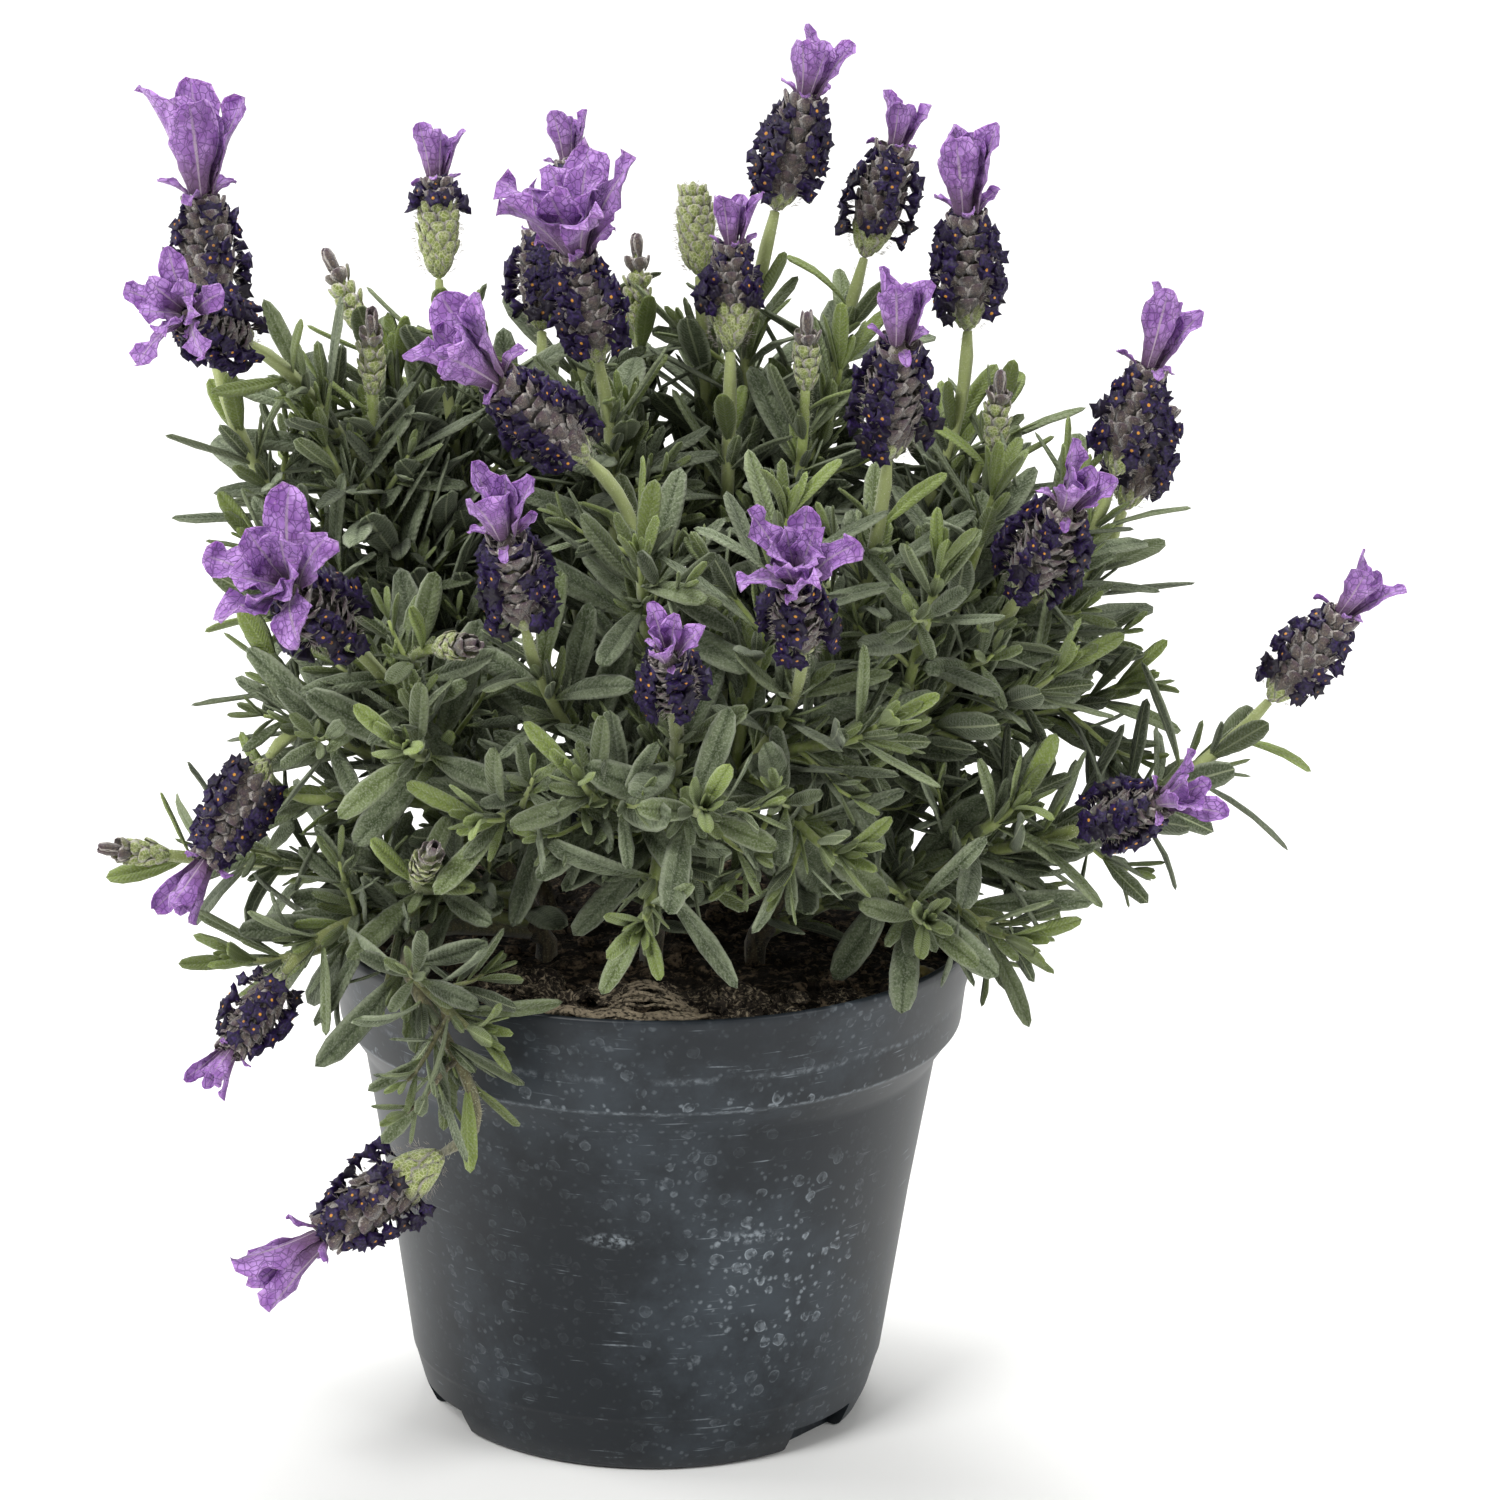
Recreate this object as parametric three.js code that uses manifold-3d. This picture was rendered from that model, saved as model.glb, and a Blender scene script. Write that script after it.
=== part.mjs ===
// Potted Spanish lavender in a round plastic nursery pot, as one scene graph.
// Millimetres, +Z up, the front faces -Y. The origin lies on the pot's axis, on the ground.
// Seven leafy stems stand in holes in the soil. Each carries side shoots with opposite pairs of
// leaves, flower heads covered in dark florets, and a tuft of violet bracts on each open head.
import * as THREE from 'three';
import { mergeVertices } from 'three/addons/utils/BufferGeometryUtils.js';
import Module from 'manifold-3d';

const wasm = await Module();
wasm.setup();
const { Manifold, Mesh: SolidMesh } = wasm;

// Gap that is left between two pieces that touch, and the room a leaf keeps to other pieces.
const GAP = 0.3;

// The pot: a tapered plastic nursery pot for two litres, with a deep band under its rim.
const POT = {
  height: 132, rimRadius: 85, wall: 1.5, sides: 28,
  bandTop: 115, bandRadius: 80.9, lipHeight: 105.5, lipRadius: 79.8,
  wallTop: 97, wallTopRadius: 73.6, footLine: 16, footLineRadius: 60.2,
  footRadius: 54.5, ringInner: 46.5, padRadius: 26, hollowUnder: 3, floorTop: 4.6,
  drains: 3, drainWidth: 24, drainHeight: 7, firstDrain: 83,
};

// The soil: its top lies a little under the rim and rises gently to the middle.
const SOIL = {
  edgeHeight: 124, middleHeight: 127.5, sides: 20, rings: [66, 46, 24], relief: 1.6, holeDepth: 8,
};

// Height at which a trunk is clear of the soil and turns towards its crown.
const NECK = 131;
const TRUNK_RADIUS = 3;
const STEM_WIDTH = 3;
const STEM_WIDTHS = [4, 3.4];
const TRUNK_SIDES = 6;
const TRUNK_WIDTHS = [5, 4.4];

// Leaves grow in opposite pairs, each pair turned a quarter from the one below it.
const LEAF = {
  spacing: 9, length: 31, youngLength: 17, widthRatio: 0.235, thickness: 1.2,
  youngAngle: 20, angle: 53, curl: 26,
};
// Where a blade has its sections, as parts of its length, and where it is widest.
const STATIONS = [0, 0.42, 0.78, 1];
const WIDEST = 0.62;

// Flower heads are bluntly pointed and somewhat over one and a half times as long as wide.
const HEAD = { widthRatio: 0.6, mostWidth: 21.5, sides: 10, rows: 6, relief: 0.13 };
const BRACT = { thickness: 1.3, widthRatio: 0.4, roll: 22, hub: 2.3 };

// Balls of slow-release fertiliser, stuck together in two patches, and the bark that lies inside
// the front of the rim: a chunk at each end of a flat strip that follows the rim.
const BEAD_RADIUS = 2.1;
const BEADS = {
  beads_left: [[-73, 8], [-71, 10.4], [-73.6, 11], [-70.6, 7.2]],
  beads_right: [[66, -34], [68.4, -32], [65.6, -31]],
};
const BARK = {
  radius: 72, thickness: 1.6, width: 4, from: 244, to: 284, steps: 5,
  chunks: [[243, 68, 9.6], [285, 68, 7.6]], flatness: 0.5,
};

// Each branch names the spot of its hole in the soil, the crown where its shoots fork, its
// flowers, its green buds and its leafy shoots. A flower is given by the two ends of its head,
// the bare stalk below it, and the violet bracts: their length, their number and how far they
// open in degrees. A bend is the handle that pulls a shoot on its way up from the crown.
const BRANCHES = [
  {
    name: 'stem_left_back', hole: [-27, 8], crown: [-37, 10, 160],
    flowers: [
      { at: [-112, -2, 286], top: [-115, 4, 320], bare: 34, bracts: [28, 4, 24] },
      { at: [-102, -22, 287], top: [-117, -47, 302], bare: 24, bracts: [16, 5, 60] },
      { at: [-56, 30, 290], top: [-57, 38, 316], bare: 12, bracts: [14, 3, 16] },
    ],
    buds: [[[-75, 20, 279], [-83, 25, 295]], [[-72, 0, 269], [-72, -5, 288]]],
    shoots: [[-84, -8, 258], [-66, 22, 268], [-99, -14, 232],
      [-88, 44, 232], [-62, 66, 246], [-98, 40, 198]],
  },
  {
    name: 'stem_left_front', hole: [-27, -23], crown: [-38, -33, 156],
    flowers: [
      { at: [-76, -60, 222], top: [-90, -86, 244], bare: 26, bracts: [25, 5, 54] },
      { at: [-96, -50, 188], top: [-112, -62, 163], bare: 8, bracts: [16, 3, 18] },
      { at: [-91, -75, 140], top: [-105, -90, 123], bare: 6, bracts: [10, 3, 24] },
      { at: [-51, -80, 95], top: [-83, -88, 74], bare: 20, bracts: [23, 3, 22],
        bend: [-105, -80, 165], handle: [-18, -105, 118] },
    ],
    buds: [[[-123, -20, 152], [-136, -25, 155]], [[-54, -62, 221], [-46, -69, 224]],
      [[-58, -76, 166], [-54, -90, 178]]],
    shoots: [[-95, -30, 206], [-92, -42, 176], [-61, -78, 200],
      [-100, -60, 138], [-44, -92, 132]],
  },
  {
    name: 'stem_back_left', hole: [-9, 27], crown: [-13, 34, 162],
    flowers: [
      { at: [-22, 60, 292], top: [-24, 69, 313], bare: 14, bracts: [13, 3, 16] },
      { at: [-15, -10, 280], top: [-21, -15, 311], bare: 12, bracts: [27, 5, 48] },
      { at: [-30, 36, 275], top: [-31, 44, 301], bare: 12, bracts: [11, 3, 16] },
    ],
    buds: [[[-5, 42, 274], [-6, 46, 295]]],
    shoots: [[-47, 20, 274], [-8, 4, 262], [-36, 84, 232], [-10, 96, 208], [-64, 76, 200]],
  },
  {
    name: 'stem_back_right', hole: [15, 26], crown: [19, 33, 162],
    flowers: [
      { at: [10, 40, 289], top: [8, 46, 313], bare: 12 },
      { at: [18, 8, 278], top: [18, 12, 307], bare: 26, bracts: [13, 3, 24] },
      { at: [29, 30, 309], top: [37, 30, 341], bare: 30, bracts: [17, 3, 20] },
      { at: [52, 45, 293], top: [60, 50, 323], bare: 14, bracts: [13, 3, 22] },
    ],
    buds: [[[37, 4, 270], [37, 4, 286]]],
    shoots: [[46, 16, 272], [12, 72, 256], [28, 94, 226], [52, 82, 196]],
  },
  {
    name: 'stem_right_back', hole: [31, 5], crown: [42, 7, 160],
    flowers: [
      { at: [78, 20, 281], top: [77, 15, 315], bare: 32, bracts: [23, 3, 12] },
      { at: [115, 0, 249], top: [124, 5, 278], bare: 8, bracts: [19, 3, 18] },
      { at: [119, 27, 232], top: [129, 35, 260], bare: 10 },
    ],
    buds: [[[85, 6, 254], [86, 6, 271]]],
    shoots: [[86, 22, 258], [103, -2, 246], [118, 6, 192], [76, 64, 236],
      [102, 50, 200]],
  },
  {
    name: 'stem_right_front', hole: [26, -24], crown: [36, -33, 156],
    flowers: [
      { at: [57, -40, 264], top: [59, -50, 299], bare: 22, bracts: [19, 3, 18] },
      { at: [91, -30, 227], top: [102, -50, 257], bare: 14, bracts: [16, 3, 22] },
      { at: [156, 0, 190], top: [175, 0, 215], bare: 14, bracts: [15, 3, 20],
        bend: [80, -28, 160] },
      { at: [108, -40, 169], top: [128, -56, 182], bare: 6, bracts: [15, 3, 34] },
    ],
    buds: [],
    shoots: [[84, -20, 250], [100, -30, 206], [70, -46, 238], [90, -46, 176], [68, -70, 154],
      [90, -50, 143]],
  },
  {
    name: 'stem_front', hole: [0, -31], crown: [0, -42, 158],
    flowers: [
      { at: [-17, -50, 266], top: [-41, -62, 291], bare: 30, bracts: [26, 4, 30] },
      { at: [36, -75, 225], top: [34, -94, 250], bare: 12, bracts: [19, 5, 44] },
      { at: [-32, -75, 230], top: [-37, -90, 260], bare: 10, bracts: [19, 3, 20] },
      { at: [5, -85, 213], top: [3, -104, 234], bare: 8, bracts: [13, 3, 30] },
    ],
    buds: [],
    shoots: [[-4, -62, 243], [-2, -92, 160], [12, -98, 192],
      [56, -72, 206], [-18, -90, 196], [-42, -84, 184], [46, -84, 176], [32, -56, 254]],
  },
];

const BUD_WIDTH = 9;
const BUD_SIDES = 6;
const BUD_ROWS = 5;
// Pairs of leaves that a shoot carries, and which of them are modelled here, from the tip down.
const PAIRS = 7;
const KEPT_PAIRS = [1, 3];
// No leaf grows nearer to the crown than this part of its shoot.
const FIRST_LEAF = 0.16;
// Room round the middle line of a leaf, the places where it is tested, and the ways, as degrees
// of lean and turn, in which it gives way to another piece.
const LEAF_ROOM = 1.7;
const PROBES = [0.45, 0.72, 0.97];
const SIDESTEPS = [[0, 0], [13, 0], [-13, 0], [0, 22], [0, -22], [26, 12]];
const CROWD_STEPS = 24;

const vector = (point) => new THREE.Vector3(...point);
const radians = THREE.MathUtils.degToRad;

/** A number from 0 to 1 that looks random and depends only on a and b. */
function scatter(a, b) {
  const wave = Math.sin(a * 12.9898 + b * 78.233) * 43758.5453;
  return wave - Math.floor(wave);
}

/** Turns a closed geometry into a solid that can be joined and cut. */
function solidOf(geometry) {
  const bare = geometry.clone();
  bare.deleteAttribute('normal');
  bare.deleteAttribute('uv');
  const merged = mergeVertices(bare, 1e-4);
  return new Manifold(new SolidMesh({
    numProp: 3,
    vertProperties: new Float32Array(merged.attributes.position.array),
    triVerts: new Uint32Array(merged.index.array),
  }));
}

/** Turns a solid back into a geometry with flat-shaded faces. */
function geometryOf(solid) {
  const mesh = solid.getMesh();
  const geometry = new THREE.BufferGeometry();
  geometry.setAttribute('position', new THREE.BufferAttribute(mesh.vertProperties, 3));
  geometry.setIndex(new THREE.BufferAttribute(mesh.triVerts, 1));
  geometry.computeVertexNormals();
  return geometry;
}

/**
 * Moves every vertex of a geometry to the place that a function gives for its u, v and point.
 * The function is also told whether the vertex belongs to the flat end of a column.
 */
function reshape(geometry, place) {
  const { position, uv, normal } = geometry.attributes;
  const vertex = new THREE.Vector3();
  for (let i = 0; i < position.count; i += 1) {
    vertex.fromBufferAttribute(position, i);
    const onCap = normal.getY(i) > 0.999;
    position.setXYZ(i, ...place(uv.getX(i), uv.getY(i), vertex, onCap).toArray());
  }
  return geometry;
}

/** The pot: one profile turned round the axis, closed over its own wall, then drain slots. */
function potSolid() {
  const { wall } = POT;
  const profile = [
    [0, 0], [POT.padRadius, 0], [POT.padRadius + 1.5, POT.hollowUnder],
    [POT.ringInner - 1.5, POT.hollowUnder], [POT.ringInner, 0], [POT.footRadius, 0],
    [POT.footRadius + 3, 6], [POT.footLineRadius, POT.footLine],
    [POT.wallTopRadius, POT.wallTop], [POT.lipRadius, POT.lipHeight],
    [POT.bandRadius, POT.bandTop], [POT.rimRadius, POT.height - 0.6],
    [POT.rimRadius - 0.8, POT.height], [POT.rimRadius - 1.6, POT.height - 0.6],
    [POT.bandRadius - wall, POT.bandTop], [POT.lipRadius - wall, POT.lipHeight + 1],
    [POT.wallTopRadius - wall, POT.wallTop + 1], [POT.footLineRadius - wall, POT.footLine],
    [POT.footRadius + 1, POT.floorTop + 2], [0, POT.floorTop],
  ].map(([radius, height]) => new THREE.Vector2(radius, height));
  let pot = solidOf(new THREE.LatheGeometry(profile, POT.sides).rotateX(Math.PI / 2));
  for (let i = 0; i < POT.drains; i += 1) {
    const slot = new THREE.BoxGeometry(14, POT.drainWidth, 2 * POT.drainHeight);
    slot.translate(POT.footRadius + 2, 0, 0);
    slot.rotateZ(radians(POT.firstDrain + (i * 360) / POT.drains));
    pot = pot.subtract(solidOf(slot));
  }
  return pot;
}

/** The soil: fills the pot to its inner wall, with a low uneven top and a hole for each trunk. */
function soilSolid() {
  const inset = POT.wall + 0.7;
  const top = SOIL.edgeHeight;
  const edge = POT.bandRadius - inset
    + ((POT.rimRadius - POT.bandRadius) * (top - POT.bandTop)) / (POT.height - POT.bandTop);
  const profile = [
    [0, POT.floorTop + GAP], [POT.footRadius, POT.floorTop + 2.4],
    [POT.wallTopRadius - inset, POT.wallTop + 1.4], [edge, top],
    ...SOIL.rings.map((radius) => [radius, top]), [0, top],
  ].map(([radius, height]) => new THREE.Vector2(radius, height));
  const lathe = new THREE.LatheGeometry(profile, SOIL.sides).rotateX(Math.PI / 2);
  reshape(lathe, (u, v, vertex) => {
    if (vertex.z < top) return vertex;
    const radius = Math.hypot(vertex.x, vertex.y);
    const turn = Math.round((Math.atan2(vertex.y, vertex.x) / (2 * Math.PI)) * SOIL.sides);
    const side = (turn + SOIL.sides) % SOIL.sides;
    const middle = 1 - (radius / edge) ** 2;
    const bump = radius > 1 ? (scatter(side, Math.round(radius)) - 0.5) * 2 : 0;
    return vertex.setZ(top + middle * (SOIL.middleHeight - top + SOIL.relief * bump));
  });
  let soil = solidOf(lathe);
  for (const { hole } of BRANCHES) {
    const radius = TRUNK_RADIUS + GAP;
    const bore = new THREE.CylinderGeometry(radius, radius, 40, TRUNK_SIDES).rotateX(Math.PI / 2);
    bore.translate(...hole, SOIL.edgeHeight - SOIL.holeDepth + 20);
    soil = soil.subtract(solidOf(bore));
  }
  return soil;
}

/** How high the soil stands at a spot, met by a ray from above. */
function soilHeight(soil, x, y) {
  const ray = new THREE.Raycaster(new THREE.Vector3(x, y, 200), new THREE.Vector3(0, 0, -1));
  return ray.intersectObject(new THREE.Mesh(geometryOf(soil)))[0].point.z;
}

/** A patch of beads that touch, lying on the highest soil under it. */
function beadsSolid(spots, soil) {
  const seat = Math.max(...spots.map(([x, y]) => soilHeight(soil, x, y)));
  return spots.map(([x, y]) => solidOf(new THREE.IcosahedronGeometry(BEAD_RADIUS)
    .translate(x, y, seat + BEAD_RADIUS + GAP))).reduce((whole, bead) => whole.add(bead));
}

/** The bark: a strip along the rim, with a rough chunk on each end. */
function barkSolid(soil) {
  const onRing = (degrees, radius) => [
    radius * Math.cos(radians(degrees)), radius * Math.sin(radians(degrees))];
  const spots = [];
  for (let i = 0; i <= BARK.steps; i += 1) {
    spots.push(onRing(THREE.MathUtils.lerp(BARK.from, BARK.to, i / BARK.steps), BARK.radius));
  }
  const seat = GAP + Math.max(...spots.map(([x, y]) => soilHeight(soil, x, y)));
  const path = new THREE.CatmullRomCurve3(spots
    .map(([x, y]) => new THREE.Vector3(x, y, seat + BARK.thickness / 2)));
  const half = [BARK.width / 2, BARK.thickness / 2];
  const section = new THREE.Shape([[-1, -1], [1, -1], [1, 1], [-1, 1]]
    .map(([x, y]) => new THREE.Vector2(y * half[1], x * half[0])));
  let bark = solidOf(new THREE.ExtrudeGeometry(section, { steps: BARK.steps, extrudePath: path }));
  for (const [degrees, radius, size] of BARK.chunks) {
    const chunk = new THREE.DodecahedronGeometry(size).scale(1, 0.7, BARK.flatness);
    chunk.rotateZ(radians(degrees)).translate(...onRing(degrees, radius), 0);
    const { min } = solidOf(chunk).boundingBox();
    bark = bark.add(solidOf(chunk.translate(0, 0, seat - min[2] + 0.2)));
  }
  return bark;
}

/**
 * A stem along a curve: a column of three sides with a section at each station, drawn to a
 * point where it starts inside the stem that it springs from. A leafy tip is pointed too.
 */
function stemSolid(curve, turn, widths, stations, pointed) {
  const last = stations.length - 1;
  const column = new THREE.CylinderGeometry(pointed ? 0 : 1, 0, 1, 3, last);
  return solidOf(reshape(column, (u, v, vertex, onCap) => {
    const along = stations[onCap ? last : Math.round(v * last)];
    const [first, second] = sideways(curve, curve.getTangent(along));
    const isPoint = along === 0 || (along === 1 && (pointed || Math.hypot(vertex.x, vertex.z) < 1e-6));
    const reach = isPoint ? 0 : THREE.MathUtils.lerp(widths[0], widths[1], along) / 2;
    const round = onCap ? Math.atan2(vertex.x, vertex.z) / (2 * Math.PI) : u;
    const angle = ((Math.round(3 * round) + 3) % 3) * ((2 * Math.PI) / 3) + turn;
    return curve.getPoint(along)
      .addScaledVector(first, reach * Math.cos(angle))
      .addScaledVector(second, reach * Math.sin(angle));
  }));
}

/**
 * A blade: a spindle of three sides, pointed at both ends, bent along an arc. Its middle line
 * leaves the root at the angle from the axis given, and turns on by the curl. Corner 0 of each
 * section is the keel under the midrib, and the other two are the blade's edges. The roll tips
 * the blade about its own length.
 */
function bladeSolid(blade) {
  const { axis, out, roll, width, thickness } = blade;
  const level = new THREE.Vector3().crossVectors(axis, out);
  const spindle = new THREE.CylinderGeometry(0, 0, 1, 3, STATIONS.length - 1);
  return solidOf(reshape(spindle, (u, v) => {
    const along = STATIONS[Math.round(v * (STATIONS.length - 1))];
    const middle = bladePoint(blade, along);
    if (along === 0 || along === 1) return middle;
    const turned = blade.angle + blade.curl * along;
    const face = axis.clone().multiplyScalar(Math.sin(turned))
      .addScaledVector(out, -Math.cos(turned));
    const across = level.clone().multiplyScalar(Math.cos(roll)).addScaledVector(face, Math.sin(roll));
    const up = face.multiplyScalar(Math.cos(roll)).addScaledVector(level, -Math.sin(roll));
    const corner = [0, 1, -1][Math.round(3 * u) % 3];
    return middle.addScaledVector(across, (corner * width * bladeWidth(along)) / 2)
      .addScaledVector(up, (corner === 0 ? -0.6 : 0.4) * thickness);
  }));
}

/** The outline of a leaf or bract: widest past the middle, and round at the tip. */
function bladeWidth(along) {
  if (along < WIDEST) return Math.sin((Math.PI / 2) * (along / WIDEST));
  return Math.sqrt(1 - ((along - WIDEST) / (1 - WIDEST)) ** 2.6);
}

/** A point on the middle line of a blade: the end of the chord of an arc that starts at its root. */
function bladePoint({ root, axis, out, length, angle, curl }, along) {
  const half = (curl * along) / 2;
  const chord = length * along * (Math.abs(half) > 1e-6 ? Math.sin(half) / half : 1);
  return root.clone()
    .addScaledVector(axis, chord * Math.cos(angle + half))
    .addScaledVector(out, chord * Math.sin(angle + half));
}

/**
 * A flower head on its own axis, its foot at the origin: a blunt spindle whose corners stand
 * out and in by turns, as the florets do that cover it.
 */
function headSolid(length, width, sides, rows, relief) {
  const ball = new THREE.SphereGeometry(1, sides, rows).rotateX(Math.PI / 2);
  return solidOf(reshape(ball, (u, v, vertex) => {
    const row = Math.round((Math.acos(Math.min(1, Math.max(-1, vertex.z))) / Math.PI) * rows);
    const turn = Math.atan2(vertex.y, vertex.x);
    const column = Math.round((turn / (2 * Math.PI)) * sides);
    const height = 1 - row / rows;
    const stands = 1 + relief * ((row + column) % 2 === 0 ? 1 : -1);
    const onAxis = row === 0 || row === rows;
    const radius = onAxis ? 0 : (width / 2) * headOutline(height) * stands;
    const angle = (column / sides) * 2 * Math.PI;
    return vertex.set(radius * Math.cos(angle), radius * Math.sin(angle),
      GAP + (length - 2 * GAP) * height);
  }));
}

/** How wide a head is at a height from 0 at its foot to 1 at its tip. */
function headOutline(height) {
  return Math.sin(Math.PI * height ** 0.8) ** 0.55;
}

/** The violet bracts on the tip of a head, on its own axis: blades round one small hub. */
function comaSolid([length, count, opening], seed) {
  const hub = new THREE.OctahedronGeometry(BRACT.hub).translate(0, 0, BRACT.hub + GAP);
  const solids = [solidOf(hub)];
  for (let i = 0; i < count; i += 1) {
    const turn = ((i + 0.2 * (scatter(seed, i) - 0.5)) / count) * 2 * Math.PI;
    const lean = radians(opening) * (0.8 + 0.4 * scatter(seed, i + 10));
    const out = new THREE.Vector3(Math.cos(turn), Math.sin(turn), 0);
    solids.push(bladeSolid({
      root: out.clone().multiplyScalar(0.3 * BRACT.hub).setZ(BRACT.hub),
      axis: new THREE.Vector3(0, 0, 1),
      out,
      length: length * (0.8 + 0.25 * scatter(seed, i + 20)),
      width: length * BRACT.widthRatio,
      thickness: BRACT.thickness,
      angle: 0.5 * lean,
      curl: lean,
      roll: radians(BRACT.roll),
    }));
  }
  return solids.reduce((whole, solid) => whole.add(solid));
}

/**
 * Lists the shoots of every branch with their curves, numbered through the whole plant. Flowers
 * and buds fork off the trunk, the lowest first. A leafy shoot springs from the nearest of them.
 */
function listShoots() {
  const shoots = [];
  for (const { name, hole, crown, flowers, buds, shoots: tips } of BRANCHES) {
    const trunk = new THREE.LineCurve3(new THREE.Vector3(...hole, NECK), vector(crown));
    const main = [...flowers, ...buds.map(([at, top]) => ({ at, top, bare: 6, bud: true }))];
    const own = main.map((tip) => {
      const end = vector(tip.at);
      const aim = vector(tip.top).sub(end).normalize();
      const lower = main.filter((other) => other.at[2] < tip.at[2]).length;
      const start = trunk.getPoint(0.1 + (0.88 * lower) / (main.length - 1));
      return { ...tip, aim, curve: shootCurve(start, end, aim, tip.bend, tip.handle) };
    });
    tips.forEach((tip, i) => {
      const end = vector(tip);
      const [parent] = own.slice(0, main.length)
        .sort((a, b) => a.curve.v3.distanceTo(end) - b.curve.v3.distanceTo(end));
      const start = parent.curve.getPoint(0.3 + 0.22 * scatter(i, name.length));
      const aim = end.clone().sub(start).normalize().add(new THREE.Vector3(0, 0, 0.35)).normalize();
      own.push({ bare: 0, aim, curve: shootCurve(start, end, aim) });
    });
    own.forEach((shoot) => shoots.push({
      ...shoot, branch: name, index: shoots.length, turn: 2 * Math.PI * scatter(shoots.length, 5),
    }));
  }
  return shoots;
}

/** The way of a shoot: up and out of its start first, then into line with its own tip. */
function shootCurve(start, end, aim, bend, handle) {
  const reach = start.distanceTo(end);
  const rise = bend ? vector(bend)
    : start.clone().lerp(end, 0.36).add(new THREE.Vector3(0, 0, 0.1 * reach));
  const lead = handle ? vector(handle) : end.clone().addScaledVector(aim, -0.33 * reach);
  return new THREE.CubicBezierCurve3(start, rise, lead, end);
}

/** Two directions square to a curve at one point, which its leaves are turned from. */
function sideways(curve, tangent) {
  const chord = curve.getPoint(1).sub(curve.getPoint(0));
  const level = new THREE.Vector3().crossVectors(chord, new THREE.Vector3(0, 0, 1));
  const first = level.addScaledVector(tangent, -level.dot(tangent)).normalize();
  return [first, new THREE.Vector3().crossVectors(tangent, first)];
}

/** Where a pair of leaves stands on its shoot, from 0 at the shoot's start to 1 at its tip. */
function placeOf({ curve, bare }, pair) {
  return 1 - (bare + 1 + pair * LEAF.spacing) / (1.05 * curve.v0.distanceTo(curve.v3));
}

/** The sections of a shoot's stem: near its start, half way, and where its kept leaves stand. */
function stationsOf(shoot) {
  const pairs = KEPT_PAIRS.map((pair) => placeOf(shoot, pair)).filter((place) => place > FIRST_LEAF);
  const lowest = Math.min(...pairs, 1);
  const middle = shoot.at ? [lowest / 2] : [];
  return [0, 0.06, ...middle, ...pairs.reverse(), 1];
}

/** One leaf of a pair, as the blade it would be if nothing stood in its way. */
function leafBlade(shoot, pair, side) {
  const place = placeOf(shoot, pair);
  const seed = shoot.index * 20 + pair * 2 + side;
  const grown = Math.min(1, (pair + 0.5) / 2.5);
  const tangent = shoot.curve.getTangent(place);
  const [first, second] = sideways(shoot.curve, tangent);
  const turn = shoot.turn + radians(90 * pair + 180 * side + 30 * (scatter(seed, 4) - 0.5));
  const length = (LEAF.youngLength + (LEAF.length - LEAF.youngLength) * grown)
    * (0.85 + 0.32 * scatter(seed, 1));
  return {
    place,
    seed,
    root: shoot.curve.getPoint(place),
    axis: tangent,
    first,
    second,
    turn,
    length,
    width: length * LEAF.widthRatio * (0.9 + 0.25 * scatter(seed, 6)),
    thickness: LEAF.thickness,
    angle: radians(LEAF.youngAngle + (LEAF.angle - LEAF.youngAngle) * grown
      + 18 * (scatter(seed, 2) - 0.5)),
    curl: radians(LEAF.curl * (2 * scatter(seed, 3) - 0.4)),
    roll: radians(30 * (scatter(seed, 7) - 0.5)),
  };
}

/** The same blade leaning and turned by the degrees given. */
function moved(blade, lean, turn) {
  const angle = blade.turn + radians(turn);
  const out = blade.first.clone().multiplyScalar(Math.cos(angle))
    .addScaledVector(blade.second, Math.sin(angle));
  return { ...blade, out, angle: blade.angle + radians(lean) };
}

/** Balls along the shoots, heads and tufts of bracts, which the leaves keep away from. */
function crowdOf(shoots) {
  const crowd = [];
  for (const { curve, index, at, top, aim, bud, bracts } of shoots) {
    for (let i = 2; i <= CROWD_STEPS; i += 1) {
      crowd.push({ point: curve.getPoint(i / CROWD_STEPS), radius: STEM_WIDTH / 2, owner: index });
    }
    for (const height of at ? [0.1, 0.37, 0.64, 0.9] : []) {
      crowd.push({ point: vector(at).lerp(vector(top), height),
        radius: (bud ? BUD_WIDTH : HEAD.mostWidth) / 2, owner: -1 });
    }
    if (bracts) {
      crowd.push({ point: vector(top).addScaledVector(aim, 0.5 * bracts[0]),
        radius: 0.5 * bracts[0], owner: -1 });
    }
  }
  return crowd;
}

/** Whether a point lies in the pot, in the soil or against the outside of the pot. */
function inPot(point) {
  const radius = Math.hypot(point.x, point.y);
  if (point.z < SOIL.middleHeight + 2) return radius < POT.rimRadius + 3;
  return point.z < POT.height + 2.5 && radius > POT.bandRadius - 5 && radius < POT.rimRadius + 3;
}

/**
 * The leaves of all shoots, pair by pair from the tip down. Each leans or turns aside until it
 * is clear of the other shoots, or is left out.
 */
function placeLeaves(shoots) {
  const crowd = crowdOf(shoots);
  const leaves = [];
  for (const shoot of shoots) {
    for (let pair = 0; pair < PAIRS; pair += 1) {
      for (const side of [0, 1]) {
        const blade = freeBlade(leafBlade(shoot, pair, side), shoot, crowd);
        if (blade) leaves.push({ shoot, pair, blade });
      }
    }
  }
  return leaves;
}

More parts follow.
